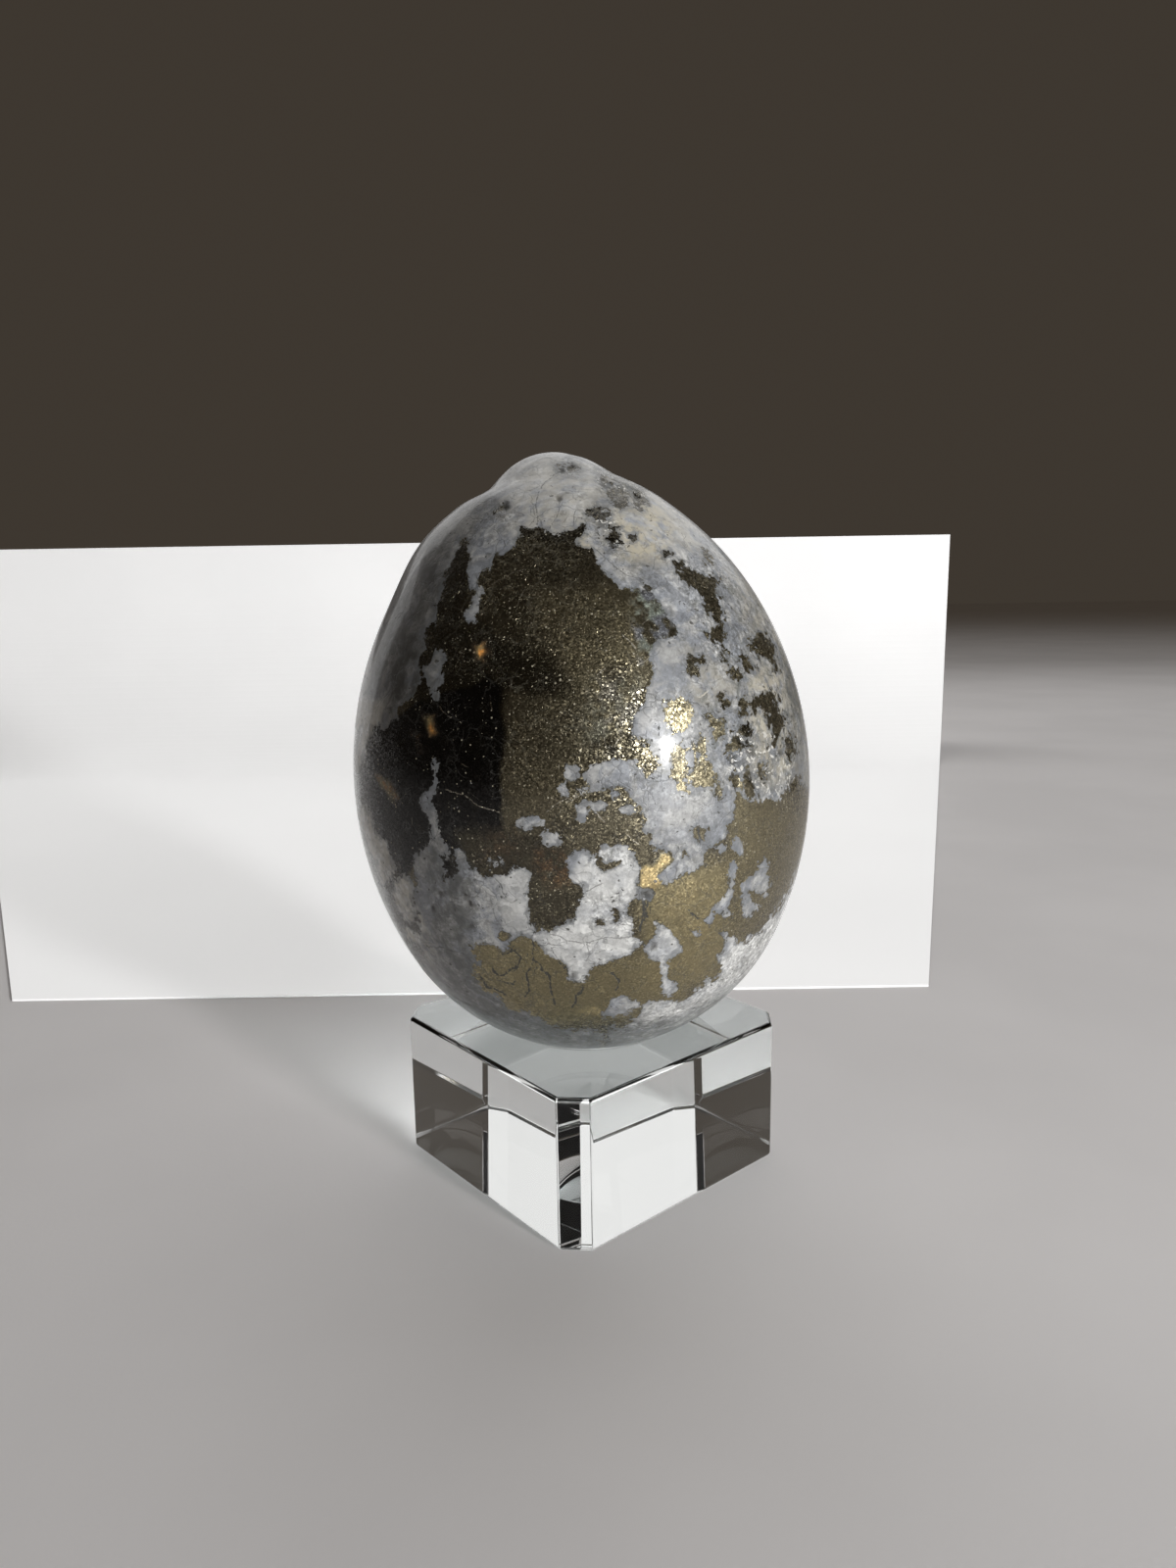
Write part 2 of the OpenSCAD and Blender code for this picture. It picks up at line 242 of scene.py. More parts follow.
FRONT_QUARTZ = {
    "quartz_crown": [
        (300, 400), (300, 620), (390, 610), (420, 580), (440, 556), (456, 548), (476, 548), (500, 545),
        (516, 548), (529, 545), (530, 536), (540, 540), (551, 538), (560, 543), (568, 546), (580, 541),
        (592, 535), (595, 541), (587, 548), (585, 556), (592, 559), (600, 558), (609, 566), (612, 577),
        (620, 584), (628, 590), (632, 598), (645, 600), (656, 600), (668, 600), (690, 585), (720, 560),
        (760, 545), (900, 560), (900, 400),
    ],
    "quartz_left_streak": [
        (470, 530), (479, 565), (476, 585), (478, 600), (484, 605), (482, 620), (476, 630), (478, 638),
        (486, 636), (490, 625), (491, 610), (494, 604), (489, 600), (487, 585), (492, 578), (500, 580),
        (503, 563), (515, 565), (525, 560), (531, 547), (530, 530), (500, 520),
    ],
    "quartz_left_band": [
        (430, 540), (466, 535), (470, 558), (458, 578), (450, 590), (450, 605), (444, 615), (447, 630),
        (440, 641), (434, 652), (437, 662), (430, 672), (428, 690), (424, 712), (410, 716), (403, 722),
        (405, 733), (390, 740), (372, 743), (300, 745), (300, 600), (392, 600), (410, 580),
    ],
    "quartz_left_patch": [
        (441, 672), (446, 664), (454, 664), (457, 669), (453, 680), (455, 695), (450, 705), (448, 717),
        (441, 716), (440, 704), (438, 696), (430, 692), (429, 682), (436, 678),
    ],
    "quartz_left_mass": [
        (441, 774), (447, 775), (446, 790), (446, 803), (442, 810), (441, 815), (443, 822), (447, 832),
        (451, 845), (452, 855), (455, 862), (456, 873), (452, 885), (458, 893), (463, 880), (464, 868),
        (470, 868), (476, 877), (480, 884), (488, 887), (493, 893), (505, 895), (515, 893), (525, 885),
        (535, 886), (540, 893), (541, 905), (538, 918), (540, 930), (541, 942), (552, 951), (546, 958),
        (535, 954), (528, 955), (522, 965), (512, 970), (505, 965), (497, 962), (488, 964), (481, 962),
        (484, 972), (490, 977), (488, 985), (479, 984), (482, 996), (490, 1007), (500, 1012), (512, 1018),
        (522, 1028), (537, 1034), (550, 1042), (566, 1047), (600, 1050), (615, 1056), (600, 1100),
        (420, 1100), (400, 1000), (436, 985), (434, 965), (428, 945), (424, 930), (422, 905), (420, 890),
        (424, 875), (430, 862), (440, 857), (439, 845), (436, 832), (433, 822), (431, 814), (434, 808),
        (440, 803), (441, 790),
    ],
    "quartz_belly_mass": [
        (577, 880), (581, 872), (590, 866), (600, 865), (607, 872), (612, 880), (618, 888), (628, 884),
        (640, 875), (648, 868), (655, 872), (657, 885), (652, 900), (650, 912), (647, 922), (640, 932),
        (650, 940), (645, 950), (647, 960), (653, 963), (645, 970), (638, 977), (625, 980), (612, 985),
        (603, 990), (598, 998), (590, 1001), (580, 999), (578, 990), (573, 982), (560, 976), (555, 968),
        (548, 961), (540, 953), (552, 949), (562, 951), (572, 945), (580, 938), (590, 928), (592, 920),
        (597, 912), (600, 903), (588, 902), (580, 893),
    ],
    "quartz_right_band": [
        (655, 585), (664, 604), (672, 618), (680, 628), (689, 640), (690, 649), (683, 651), (672, 655),
        (664, 661), (660, 672), (663, 690), (662, 702), (660, 714), (652, 723), (648, 735), (645, 750),
        (656, 757), (666, 765), (672, 782), (667, 792), (657, 786), (648, 776), (636, 774), (622, 774),
        (610, 778), (600, 783), (596, 790), (598, 797), (603, 806), (612, 804), (620, 799), (630, 800),
        (640, 802), (643, 812), (652, 818), (656, 828), (660, 838), (655, 845), (666, 848), (668, 865),
        (676, 872), (684, 873), (682, 885), (672, 892), (668, 898), (678, 903), (690, 898), (700, 893),
        (712, 890), (720, 880), (722, 866), (731, 861), (737, 855), (740, 842), (747, 835), (752, 822),
        (750, 815), (756, 806), (765, 816), (775, 820), (785, 814), (797, 818), (803, 806), (808, 796),
        (815, 790), (822, 802), (900, 810), (900, 540), (760, 530), (700, 560),
    ],
    "quartz_right_patch": [
        (755, 905), (760, 897), (768, 893), (775, 885), (778, 876), (782, 880), (781, 893), (787, 897),
        (786, 905), (780, 914), (775, 915), (772, 909), (764, 912), (774, 924), (768, 934), (761, 935),
        (760, 925), (757, 914),
    ],
    "quartz_cross_patch": [
        (667, 944), (675, 942), (682, 948), (688, 955), (694, 960), (694, 968), (686, 975), (682, 980),
        (683, 998), (690, 1002), (689, 1010), (682, 1015), (674, 1014), (673, 1005), (676, 995), (672, 985),
        (672, 979), (662, 979), (657, 970), (660, 962), (668, 958), (670, 950),
    ],
    "quartz_foot_arc": [
        (737, 950), (745, 955), (757, 961), (768, 956), (777, 945), (786, 935), (796, 926), (802, 913),
        (808, 903), (812, 890), (860, 870), (860, 1000), (760, 1080), (620, 1100), (618, 1048), (640, 1046),
        (648, 1036), (655, 1028), (664, 1021), (685, 1020), (700, 1018), (706, 1010), (715, 1005),
        (721, 998), (731, 998), (735, 985), (731, 975), (738, 968), (742, 959),
    ],
}
# Small outlines: quartz in the pyrite, then pyrite in the quartz
FLECKS = [
    [(577, 788), (582, 782), (590, 783), (593, 792), (588, 799), (580, 797)],
    [(570, 803), (577, 800), (583, 805), (581, 812), (573, 812)],
    [(586, 800), (595, 801), (601, 806), (596, 810), (588, 806)],
    [(526, 841), (534, 833), (545, 831), (556, 838), (549, 844), (537, 848)],
    [(552, 852), (559, 847), (571, 852), (577, 860), (570, 866), (556, 864)],
    [(501, 877), (509, 876), (511, 886), (504, 885)],
    [(601, 818), (609, 815), (618, 820), (616, 826), (606, 827)],
    [(634, 822), (643, 819), (650, 823), (646, 829), (637, 828)],
    [(591, 820), (597, 818), (601, 834), (595, 843), (590, 835)],
    [(719, 939), (723, 928), (732, 922), (736, 917), (740, 907), (741, 893), (745, 880), (750, 885),
     (747, 897), (745, 915), (746, 928), (745, 936), (738, 932), (730, 932), (726, 941)],
    [(742, 860), (750, 854), (757, 858), (757, 871), (750, 868), (744, 869)],
    [(613, 1036), (621, 1029), (628, 1020), (640, 1020), (652, 1021), (653, 1028), (640, 1035),
     (625, 1039)],
    [(612, 866), (622, 860), (634, 858), (646, 864), (650, 871), (640, 877), (626, 881), (616, 877)],
    [(622, 806), (628, 803), (632, 809), (626, 814)],
    [(736, 862), (729, 867), (733, 874), (739, 868)],
    [(652, 908), (661, 904), (670, 910), (665, 919), (655, 918)],
    [(705, 948), (711, 946), (713, 952), (707, 955)],
    [(366, 738), (371, 722), (380, 722), (386, 733), (379, 744), (374, 765), (370, 788), (365, 792),
     (362, 770)],
    [(370, 812), (378, 822), (388, 848), (395, 862), (401, 878), (403, 888), (399, 898), (391, 903),
     (387, 895), (384, 880), (377, 868), (372, 850), (367, 830)],
    [(401, 897), (410, 894), (421, 903), (423, 915), (421, 925), (425, 932), (421, 943), (411, 936),
     (404, 925), (401, 912)],
    [(412, 943), (422, 948), (431, 950), (437, 958), (435, 967), (425, 966), (415, 958)],
]
ISLANDS = [
    [(692, 583), (700, 580), (711, 580), (722, 582), (733, 588), (733, 595), (729, 601), (734, 612),
     (739, 625), (739, 640), (741, 650), (735, 656), (725, 653), (719, 648), (721, 642), (729, 639),
     (728, 630), (721, 625), (715, 615), (708, 605), (702, 597), (696, 590)],
    [(701, 665), (709, 667), (718, 665), (720, 674), (710, 677), (712, 688), (704, 690), (701, 683)],
    [(754, 660), (762, 666), (768, 679), (773, 683), (762, 685), (757, 673)],
    [(765, 652), (776, 645), (785, 652), (791, 662), (789, 672), (797, 681), (790, 683), (780, 676),
     (771, 665)],
    [(770, 710), (785, 705), (795, 707), (795, 718), (801, 728), (802, 739), (797, 749), (788, 754),
     (786, 742), (784, 728), (776, 724), (771, 734), (767, 722)],
    [(756, 714), (762, 707), (765, 720), (762, 733), (756, 728)],
    [(762, 735), (769, 745), (768, 760), (762, 758), (758, 745)],
    [(748, 744), (754, 748), (759, 758), (757, 767), (750, 773), (744, 770), (745, 758)],
    [(676, 712), (690, 714), (700, 716), (706, 722), (709, 731), (704, 741), (696, 750), (688, 752),
     (680, 742), (676, 728)],
    [(719, 727), (727, 732), (740, 737), (738, 750), (728, 756), (722, 753), (724, 744), (720, 737)],
    [(712, 746), (720, 751), (723, 765), (722, 775), (731, 785), (733, 797), (728, 807), (718, 807),
     (706, 798), (701, 790), (708, 781), (713, 776), (710, 765)],
    [(684, 762), (701, 761), (701, 775), (699, 790), (698, 809), (690, 805), (684, 792)],
    [(746, 792), (752, 787), (758, 792), (763, 800), (758, 806), (748, 802)],
    [(761, 781), (768, 789), (769, 805), (773, 813), (764, 813), (759, 800)],
    [(730, 805), (737, 802), (739, 815), (733, 823), (730, 815)],
    [(708, 845), (716, 838), (724, 845), (722, 853), (712, 856)],
    [(625, 925), (632, 925), (635, 935), (627, 938)],
    [(610, 938), (618, 937), (619, 943), (611, 943)],
    [(507, 955), (513, 949), (523, 952), (525, 958), (516, 963)],
    [(695, 868), (701, 866), (703, 872), (697, 875)],
    [(735, 703), (741, 706), (738, 712), (732, 709)],
    [(735, 712), (744, 712), (745, 720), (739, 721)],
    [(739, 665), (744, 667), (743, 674), (738, 673)],
    [(745, 684), (753, 682), (756, 688), (748, 690)],
    [(780, 757), (787, 755), (790, 762), (783, 765)],
    [(800, 752), (808, 750), (812, 765), (806, 776), (801, 765)],
    [(775, 780), (783, 778), (784, 790), (777, 792)],
    [(611, 484), (622, 482), (629, 489), (623, 495), (614, 492)],
    [(620, 499), (632, 497), (640, 503), (641, 514), (632, 516), (624, 509)],
    [(647, 503), (655, 499), (660, 510), (656, 519), (648, 514)],
    [(600, 515), (610, 513), (622, 520), (620, 530), (609, 529), (602, 523)],
    [(623, 532), (632, 534), (634, 548), (628, 557), (621, 547)],
    [(571, 475), (584, 473), (593, 480), (585, 484), (574, 482)],
    [(501, 518), (512, 514), (520, 518), (515, 524), (505, 523)],
    [(641, 540), (650, 543), (648, 550), (640, 548)],
    [(676, 560), (684, 558), (686, 566), (679, 568)],
    [(690, 573), (696, 571), (698, 582), (692, 584)],
    [(451, 872), (460, 877), (464, 888), (459, 897), (450, 895), (452, 884)],
    [(716, 556), (724, 560), (728, 572), (721, 570)],
]
BACK_QUARTZ = {
    "quartz_crown": [
        (-1.3, 0.93), (-0.38, 0.93), (-0.25, 0.925), (-0.14, 0.9), (-0.09, 0.885), (-0.03, 0.88),
        (0.02, 0.895), (0.06, 0.885), (0.1, 0.86), (0.17, 0.85), (0.26, 0.83), (0.38, 0.84), (0.5, 0.85),
        (0.68, 0.82), (1.3, 0.84), (1.3, 1.2), (-1.3, 1.2),
    ],
    "quartz_back_seam": [
        (1.3, 0.9), (0.62, 0.82), (0.4, 0.76), (0.22, 0.7), (0.05, 0.58), (-0.12, 0.5), (-0.28, 0.38),
        (-0.44, 0.3), (-0.36, 0.2), (-0.18, 0.24), (0.02, 0.34), (0.2, 0.42), (0.36, 0.5), (0.62, 0.54),
        (1.3, 0.53),
    ],
    "quartz_back_patch": [
        (-1.3, 0.9), (-0.7, 0.84), (-0.62, 0.74), (-0.46, 0.66), (-0.5, 0.54), (-0.64, 0.46), (-0.86, 0.44),
        (-0.94, 0.56), (-1.3, 0.62),
    ],
    "quartz_back_foot": [
        (-1.3, 0.26), (-0.8, 0.2), (-0.6, 0.13), (-0.3, 0.1), (0.0, 0.13), (0.2, 0.24), (0.34, 0.27),
        (0.5, 0.22), (0.62, 0.16), (0.85, 0.24), (1.3, 0.34), (1.3, -0.2), (-1.3, -0.2),
    ],
}
BACK_FLECKS = [
    [(-0.2, 0.74), (-0.12, 0.77), (-0.02, 0.75), (-0.06, 0.71), (-0.16, 0.7)],
    [(0.5, 0.4), (0.6, 0.42), (0.63, 0.38), (0.54, 0.36)],
    [(-0.12, 0.62), (-0.06, 0.63), (-0.05, 0.6), (-0.11, 0.595)],
    [(-0.36, 0.46), (-0.28, 0.47), (-0.26, 0.44), (-0.33, 0.43)],
    [(0.02, 0.26), (0.1, 0.27), (0.09, 0.24), (0.03, 0.235)],
    [(-0.66, 0.36), (-0.56, 0.385), (-0.52, 0.35), (-0.6, 0.325)],
]
BACK_ISLANDS = [
    [(0.5, 0.7), (0.62, 0.74), (0.72, 0.7), (0.6, 0.65)],
    [(0.3, 0.6), (0.4, 0.63), (0.42, 0.58), (0.34, 0.56)],
    [(-0.2, 0.36), (-0.12, 0.38), (-0.13, 0.34)],
    [(0.78, 0.66), (0.88, 0.68), (0.9, 0.62), (0.8, 0.6)],
]

# Zones of the pyrite's tone, from 0, black, to 1, bright gold: outline, tone and softness in pixels. Much of
# the tone is painted reflection: black and dark olive where the polished metal mirrors dark surroundings,
# brighter where it mirrors bright ones
TONES_AND_REFLECTIONS = [
    ([(505, 520), (620, 530), (660, 600), (660, 660), (560, 640), (500, 640)], 0.29, 18),
    ([(545, 600), (645, 590), (664, 700), (640, 722), (590, 716), (556, 684)], 0.42, 14),
    ([(430, 545), (478, 555), (478, 640), (498, 640), (512, 700), (516, 720), (420, 730), (425, 660)], 0.14,
      10),
    ([(480, 640), (560, 672), (575, 700), (560, 716), (500, 716)], 0.15, 16),
    ([(300, 560), (420, 560), (392, 640), (380, 720), (300, 760)], 0.45, 8),
    # Painted reflection: black, with a straight edge, where the polished metal mirrors a dark thing
    ([(300, 742), (404, 732), (440, 712), (500, 690), (513, 706), (515, 800), (513, 862), (470, 872),
      (430, 870), (410, 905), (400, 890), (370, 830), (300, 830)], 0.01, 3),
    ([(300, 830), (380, 830), (405, 880), (430, 930), (440, 1000), (300, 1000)], 0.05, 8),
    ([(445, 866), (468, 866), (468, 900), (445, 900)], 0.04, 4),
    ([(517, 706), (600, 706), (640, 760), (600, 830), (517, 845)], 0.36, 8),
    ([(695, 560), (760, 560), (815, 690), (826, 812), (745, 812), (740, 700)], 0.38, 10),
    ([(688, 575), (740, 575), (745, 660), (715, 660)], 0.37, 6),
    ([(752, 640), (800, 640), (800, 690), (752, 690)], 0.42, 6),
    ([(756, 734), (770, 734), (770, 762), (756, 762)], 0.2, 4),
    ([(490, 470), (680, 470), (690, 575), (600, 560), (490, 540)], 0.16, 8),
    ([(622, 678), (668, 676), (672, 720), (650, 770), (600, 780), (615, 730)], 0.31, 12),
    ([(600, 800), (650, 800), (672, 850), (650, 872), (600, 862)], 0.29, 10),
    ([(470, 850), (575, 850), (580, 900), (540, 905), (470, 900)], 0.16, 14),
    ([(535, 900), (600, 905), (600, 950), (535, 950)], 0.2, 8),
    ([(470, 955), (548, 948), (640, 975), (700, 960), (700, 1060), (470, 1060)], 0.585, 8),
    ([(655, 895), (740, 880), (760, 960), (730, 1010), (655, 1010)], 0.63, 16),
    ([(745, 815), (860, 800), (860, 960), (740, 960)], 0.46, 14),
    ([(679, 872), (682, 880), (678, 886), (672, 890), (671, 895), (675, 902), (667, 909), (660, 903),
      (655, 904), (654, 898), (657, 892), (656, 885), (662, 881), (667, 884), (672, 884), (675, 875)], 0.84,
      1.5),
    ([(610, 757), (640, 752), (660, 752), (676, 780), (670, 798), (650, 790), (620, 776)], 0.22, 7),
    ([(670, 708), (712, 712), (710, 752), (680, 750)], 0.4, 5),
    ([(680, 755), (706, 755), (704, 812), (680, 806)], 0.36, 5),
    ([(710, 722), (744, 730), (736, 812), (703, 806)], 0.38, 6),
    ([(588, 1032), (604, 1028), (622, 1031), (616, 1036), (600, 1037)], 0.7, 2),
    ([(440, 1010), (560, 1046), (700, 1040), (700, 1100), (440, 1100)], 0.3, 6),
]
# Places stained rust, brighter embers in them, and places with a film that turns grey green. Here and in the
# tables below: outline, strength where it is less than full, and softness in pixels
RUST = [
    ([(484, 658), (496, 655), (500, 668), (494, 678), (486, 674)], 5),
    ([(432, 728), (443, 730), (446, 748), (436, 750)], 5),
    ([(422, 745), (430, 745), (430, 765), (423, 765)], 5),
    ([(382, 785), (392, 792), (408, 812), (404, 820), (388, 800)], 5),
    ([(545, 866), (580, 870), (584, 902), (560, 906), (546, 890)], 0.7, 6),
    ([(492, 842), (530, 850), (530, 880), (495, 875)], 0.4, 10),
]
EMBERS = [
    ([(486, 660), (494, 657), (497, 668), (493, 675), (488, 671)], 1.0, 2),
    ([(434, 730), (441, 731), (443, 745), (436, 747)], 0.8, 3),
    ([(385, 789), (392, 793), (405, 812), (402, 817), (388, 800)], 0.6, 4),
]
FILM = [
    ([(644, 600), (668, 600), (690, 640), (670, 665), (655, 680), (645, 640)], 8),
    ([(600, 690), (650, 690), (660, 740), (620, 770), (590, 750)], 0.3, 14),
]
# Quartz darkened by fine pyrite, and painted shade: the same dark grey on the unlit left side and round the
# foot
ASH_AND_SHADE = [
    # Painted shade on the unlit left side
    ([(320, 540), (462, 540), (455, 600), (446, 650), (440, 720), (400, 760), (392, 760), (388, 700),
      (368, 660), (340, 640)], 0.92, 8),
    ([(384, 650), (440, 655), (430, 735), (394, 745)], 1.0, 7),
    ([(434, 658), (462, 658), (462, 722), (434, 722)], 0.85, 6),
    ([(425, 765), (456, 765), (456, 850), (470, 870), (440, 880), (425, 860)], 0.45, 6),
    # Painted shade on the lower left and round the foot
    ([(422, 850), (452, 850), (475, 900), (480, 950), (500, 1000), (560, 1030), (640, 1046), (640, 1100),
      (480, 1100), (452, 1010), (444, 960), (434, 900)], 0.9, 12),
    ([(500, 890), (545, 890), (545, 950), (500, 950)], 0.2, 10),
    # Painted shade round the foot
    ([(560, 1040), (700, 1036), (730, 1016), (760, 1016), (760, 1100), (500, 1100)], 0.85, 9),
    ([(728, 590), (752, 590), (790, 700), (760, 690), (740, 640)], 0.42, 14),
    ([(604, 480), (625, 478), (662, 498), (660, 512), (640, 512), (612, 500)], 0.7, 8),
    ([(564, 470), (594, 470), (596, 488), (566, 490)], 0.5, 6),
    ([(600, 512), (622, 514), (634, 540), (632, 556), (618, 552), (604, 528)], 0.5, 8),
    ([(455, 500), (508, 492), (520, 512), (490, 545), (455, 560)], 0.4, 12),
    ([(645, 618), (690, 636), (672, 662), (648, 660)], 0.55, 8),
    ([(650, 900), (672, 900), (672, 922), (650, 922)], 0.75, 5),
    ([(700, 440), (800, 500), (820, 640), (760, 600), (720, 540)], 0.3, 16),
    ([(796, 640), (840, 680), (840, 830), (806, 826), (803, 760)], 0.75, 7),
    ([(745, 745), (800, 750), (800, 812), (760, 815)], 0.48, 12),
    ([(738, 590), (765, 600), (800, 690), (780, 690), (742, 640)], 0.4, 10),
    ([(640, 562), (668, 575), (668, 598), (645, 598)], 0.35, 8),
    ([(640, 655), (760, 665), (770, 880), (640, 880)], 0.25, 18),
    ([(750, 870), (795, 870), (795, 940), (750, 940)], 0.25, 8),
    # Painted shade along the foot
    ([(434, 978), (470, 1003), (500, 1022), (545, 1046), (620, 1054), (700, 1044), (700, 1100),
      (400, 1100)], 1.0, 7),
    ([(596, 510), (640, 496), (662, 500), (660, 520), (630, 524), (600, 532)], 0.45, 6),
]
# The whitest quartz, and painted light: the belly, the foot and a strip along the left limb made paler
# where light falls on them
MILK_AND_LIGHT = [
    # Painted light on the belly and the lower left mass, in this and the next two entries
    ([(530, 940), (560, 952), (600, 925), (650, 940), (655, 965), (600, 1004), (575, 995)], 0.85, 8),
    ([(600, 866), (655, 866), (650, 930), (600, 930), (580, 900)], 0.75, 10),
    ([(508, 888), (543, 885), (545, 955), (512, 950)], 0.75, 5),
    ([(478, 886), (505, 893), (505, 910), (480, 905)], 0.3, 8),
    # Painted light on the foot
    ([(770, 950), (806, 890), (860, 870), (860, 960), (790, 1010)], 1.0, 10),
    ([(660, 935), (700, 945), (695, 1020), (670, 1020)], 0.5, 8),
    # Painted light on the foot
    ([(700, 1000), (760, 950), (800, 900), (860, 870), (860, 1100), (640, 1100), (640, 1040)], 0.75, 12),
    ([(515, 465), (570, 458), (570, 500), (530, 505)], 0.4, 10),
    ([(575, 500), (612, 495), (600, 530), (575, 530)], 0.3, 10),
    ([(660, 540), (720, 570), (730, 620), (690, 610)], 0.25, 16),
    ([(650, 810), (700, 800), (740, 820), (700, 880), (660, 840)], 0.25, 12),
    # Painted light on a strip along the left limb
    ([(350, 700), (388, 715), (388, 745), (380, 800), (396, 860), (412, 890), (434, 950), (420, 975),
      (350, 840)], 1.0, 3),
]
# Quartz stained beige
WARM = [
    ([(632, 505), (668, 508), (690, 540), (680, 572), (640, 572), (622, 540)], 1.0, 14),
    ([(586, 543), (602, 543), (602, 562), (588, 560)], 0.9, 4),
    ([(516, 470), (700, 480), (720, 560), (640, 580), (520, 540)], 0.35, 20),
    ([(700, 655), (760, 690), (745, 725), (705, 720)], 0.5, 16),
    ([(760, 680), (800, 680), (815, 800), (770, 800)], 0.8, 14),
    ([(360, 715), (388, 715), (388, 745), (378, 800), (392, 860), (410, 890), (440, 960), (450, 1000),
      (420, 1000), (360, 840)], 0.55, 3),
    ([(740, 570), (780, 600), (790, 660), (760, 650)], 0.5, 14),
    ([(776, 590), (860, 600), (860, 830), (808, 830), (796, 700)], 0.6, 10),
]
# Places where the two minerals are finely mixed
MIXED = [
    ([(606, 478), (640, 482), (668, 500), (664, 518), (640, 520), (612, 506)], 0.95, 8),
    ([(598, 512), (626, 514), (644, 545), (640, 575), (612, 560), (596, 545)], 0.75, 8),
    ([(566, 474), (592, 474), (594, 486), (568, 488)], 0.7, 5),
    ([(470, 505), (520, 508), (530, 535), (500, 560), (462, 560), (455, 530)], 0.5, 10),
    ([(640, 560), (680, 590), (700, 650), (660, 665), (630, 600)], 0.5, 10),
    ([(690, 570), (740, 560), (780, 600), (812, 700), (822, 800), (770, 822), (735, 800), (740, 700),
      (700, 640)], 0.8, 16),
    ([(690, 640), (760, 650), (750, 740), (690, 700)], 0.4, 14),
    ([(776, 590), (860, 600), (860, 830), (808, 830), (796, 700)], 1.0, 8),
    ([(664, 704), (748, 704), (748, 812), (690, 818), (640, 800), (640, 752), (664, 752)], 0.8, 6),
    ([(640, 800), (700, 800), (750, 830), (700, 895), (650, 870)], 0.35, 10),
    ([(440, 850), (500, 890), (500, 970), (440, 960)], 0.55, 12),
    ([(480, 965), (540, 1030), (640, 1040), (700, 1015), (760, 960), (800, 900), (860, 900), (860, 1100),
      (400, 1100), (420, 960)], 0.7, 12),
    ([(500, 1030), (560, 1044), (700, 1040), (740, 1016), (760, 1100), (480, 1100)], 1.0, 8),
    ([(600, 860), (655, 860), (650, 884), (606, 884)], 0.5, 6),
    ([(600, 912), (645, 905), (648, 945), (600, 948)], 0.5, 6),
]
# Rough places, full of small hollows
VUGS = [
    ([(742, 742), (800, 750), (812, 800), (780, 818), (748, 806)], 10),
    ([(602, 515), (628, 518), (640, 556), (620, 556)], 8),
    ([(612, 482), (660, 500), (655, 512), (612, 500)], 8),
]
# Single small hollows: pixel, radius in pixels and depth in millimetres
HOLLOWS = [
    (584, 478, 6, 0.3), (576, 481, 4, 0.2), (614, 487, 5, 0.3), (634, 503, 8, 0.4), (650, 507, 7, 0.35),
    (569, 510, 3, 0.2), (514, 517, 5, 0.2), (447, 911, 4, 0.2), (443, 924, 4, 0.25), (478, 925, 4, 0.35),
    (472, 917, 3, 0.3), (478, 945, 4, 0.25), (660, 913, 7, 0.5), (667, 908, 5, 0.4), (690, 944, 3, 0.2),
    (666, 966, 4, 0.2), (768, 766, 6, 0.4), (756, 752, 6, 0.4), (784, 790, 6, 0.35), (765, 790, 5, 0.5),
    (752, 775, 5, 0.4), (797, 768, 5, 0.3), (672, 940, 4, 0.2), (735, 952, 4, 0.2), (500, 985, 4, 0.15),
    (532, 1019, 6, 0.2), (585, 996, 5, 0.2), (470, 876, 3, 0.2), (455, 880, 4, 0.2),
]
# Open lines, in pixels
CRACKS = [
    [(550, 502), (548, 515), (550, 530), (548, 538)],
    [(580, 477), (566, 486), (556, 495), (550, 503)],
    [(570, 509), (569, 518), (566, 530), (561, 543)],
    [(591, 515), (586, 524), (584, 536)],
    [(600, 556), (619, 565), (631, 577), (644, 587), (660, 596)],
    [(619, 549), (637, 559), (652, 562)],
    [(507, 895), (513, 912), (520, 920), (531, 916)],
    [(478, 905), (488, 900), (497, 903)],
    [(430, 962), (450, 968), (476, 976)],
    [(556, 952), (567, 954), (580, 958), (596, 958), (624, 954), (650, 958)],
    [(596, 958), (600, 971), (597, 984)],
    [(624, 936), (634, 941), (646, 947)],
    [(549, 966), (562, 964), (578, 963)],
    [(598, 912), (606, 903), (614, 900)],
    [(548, 948), (545, 958), (547, 966), (545, 975), (544, 986)],
    [(545, 978), (550, 985), (553, 992), (560, 998), (561, 1008), (564, 1020), (567, 1028)],
    [(520, 958), (525, 970), (532, 977), (529, 984), (525, 993)],
    [(504, 968), (513, 974), (521, 970), (526, 966)],
    [(480, 959), (486, 968)],
    [(560, 955), (566, 970), (570, 984), (576, 993)],
    [(529, 999), (523, 1004), (517, 1003), (508, 999)],
    [(488, 996), (497, 1008), (510, 1012), (520, 1015)],
    [(582, 1029), (588, 1020), (587, 1014), (593, 1011), (598, 1003)],
    [(500, 986), (508, 993), (518, 990), (527, 988)],
    [(545, 986), (538, 996), (541, 1008), (535, 1020)],
    [(624, 990), (631, 1003), (629, 1016)],
    [(578, 983), (580, 999), (592, 1001), (598, 993)],
    [(655, 905), (658, 925), (656, 945), (650, 956)],
    [(663, 918), (660, 930), (664, 940)],
    [(700, 925), (710, 934), (720, 936)],
    [(715, 840), (718, 855), (716, 864)],
    [(485, 896), (484, 905), (487, 915)],
]
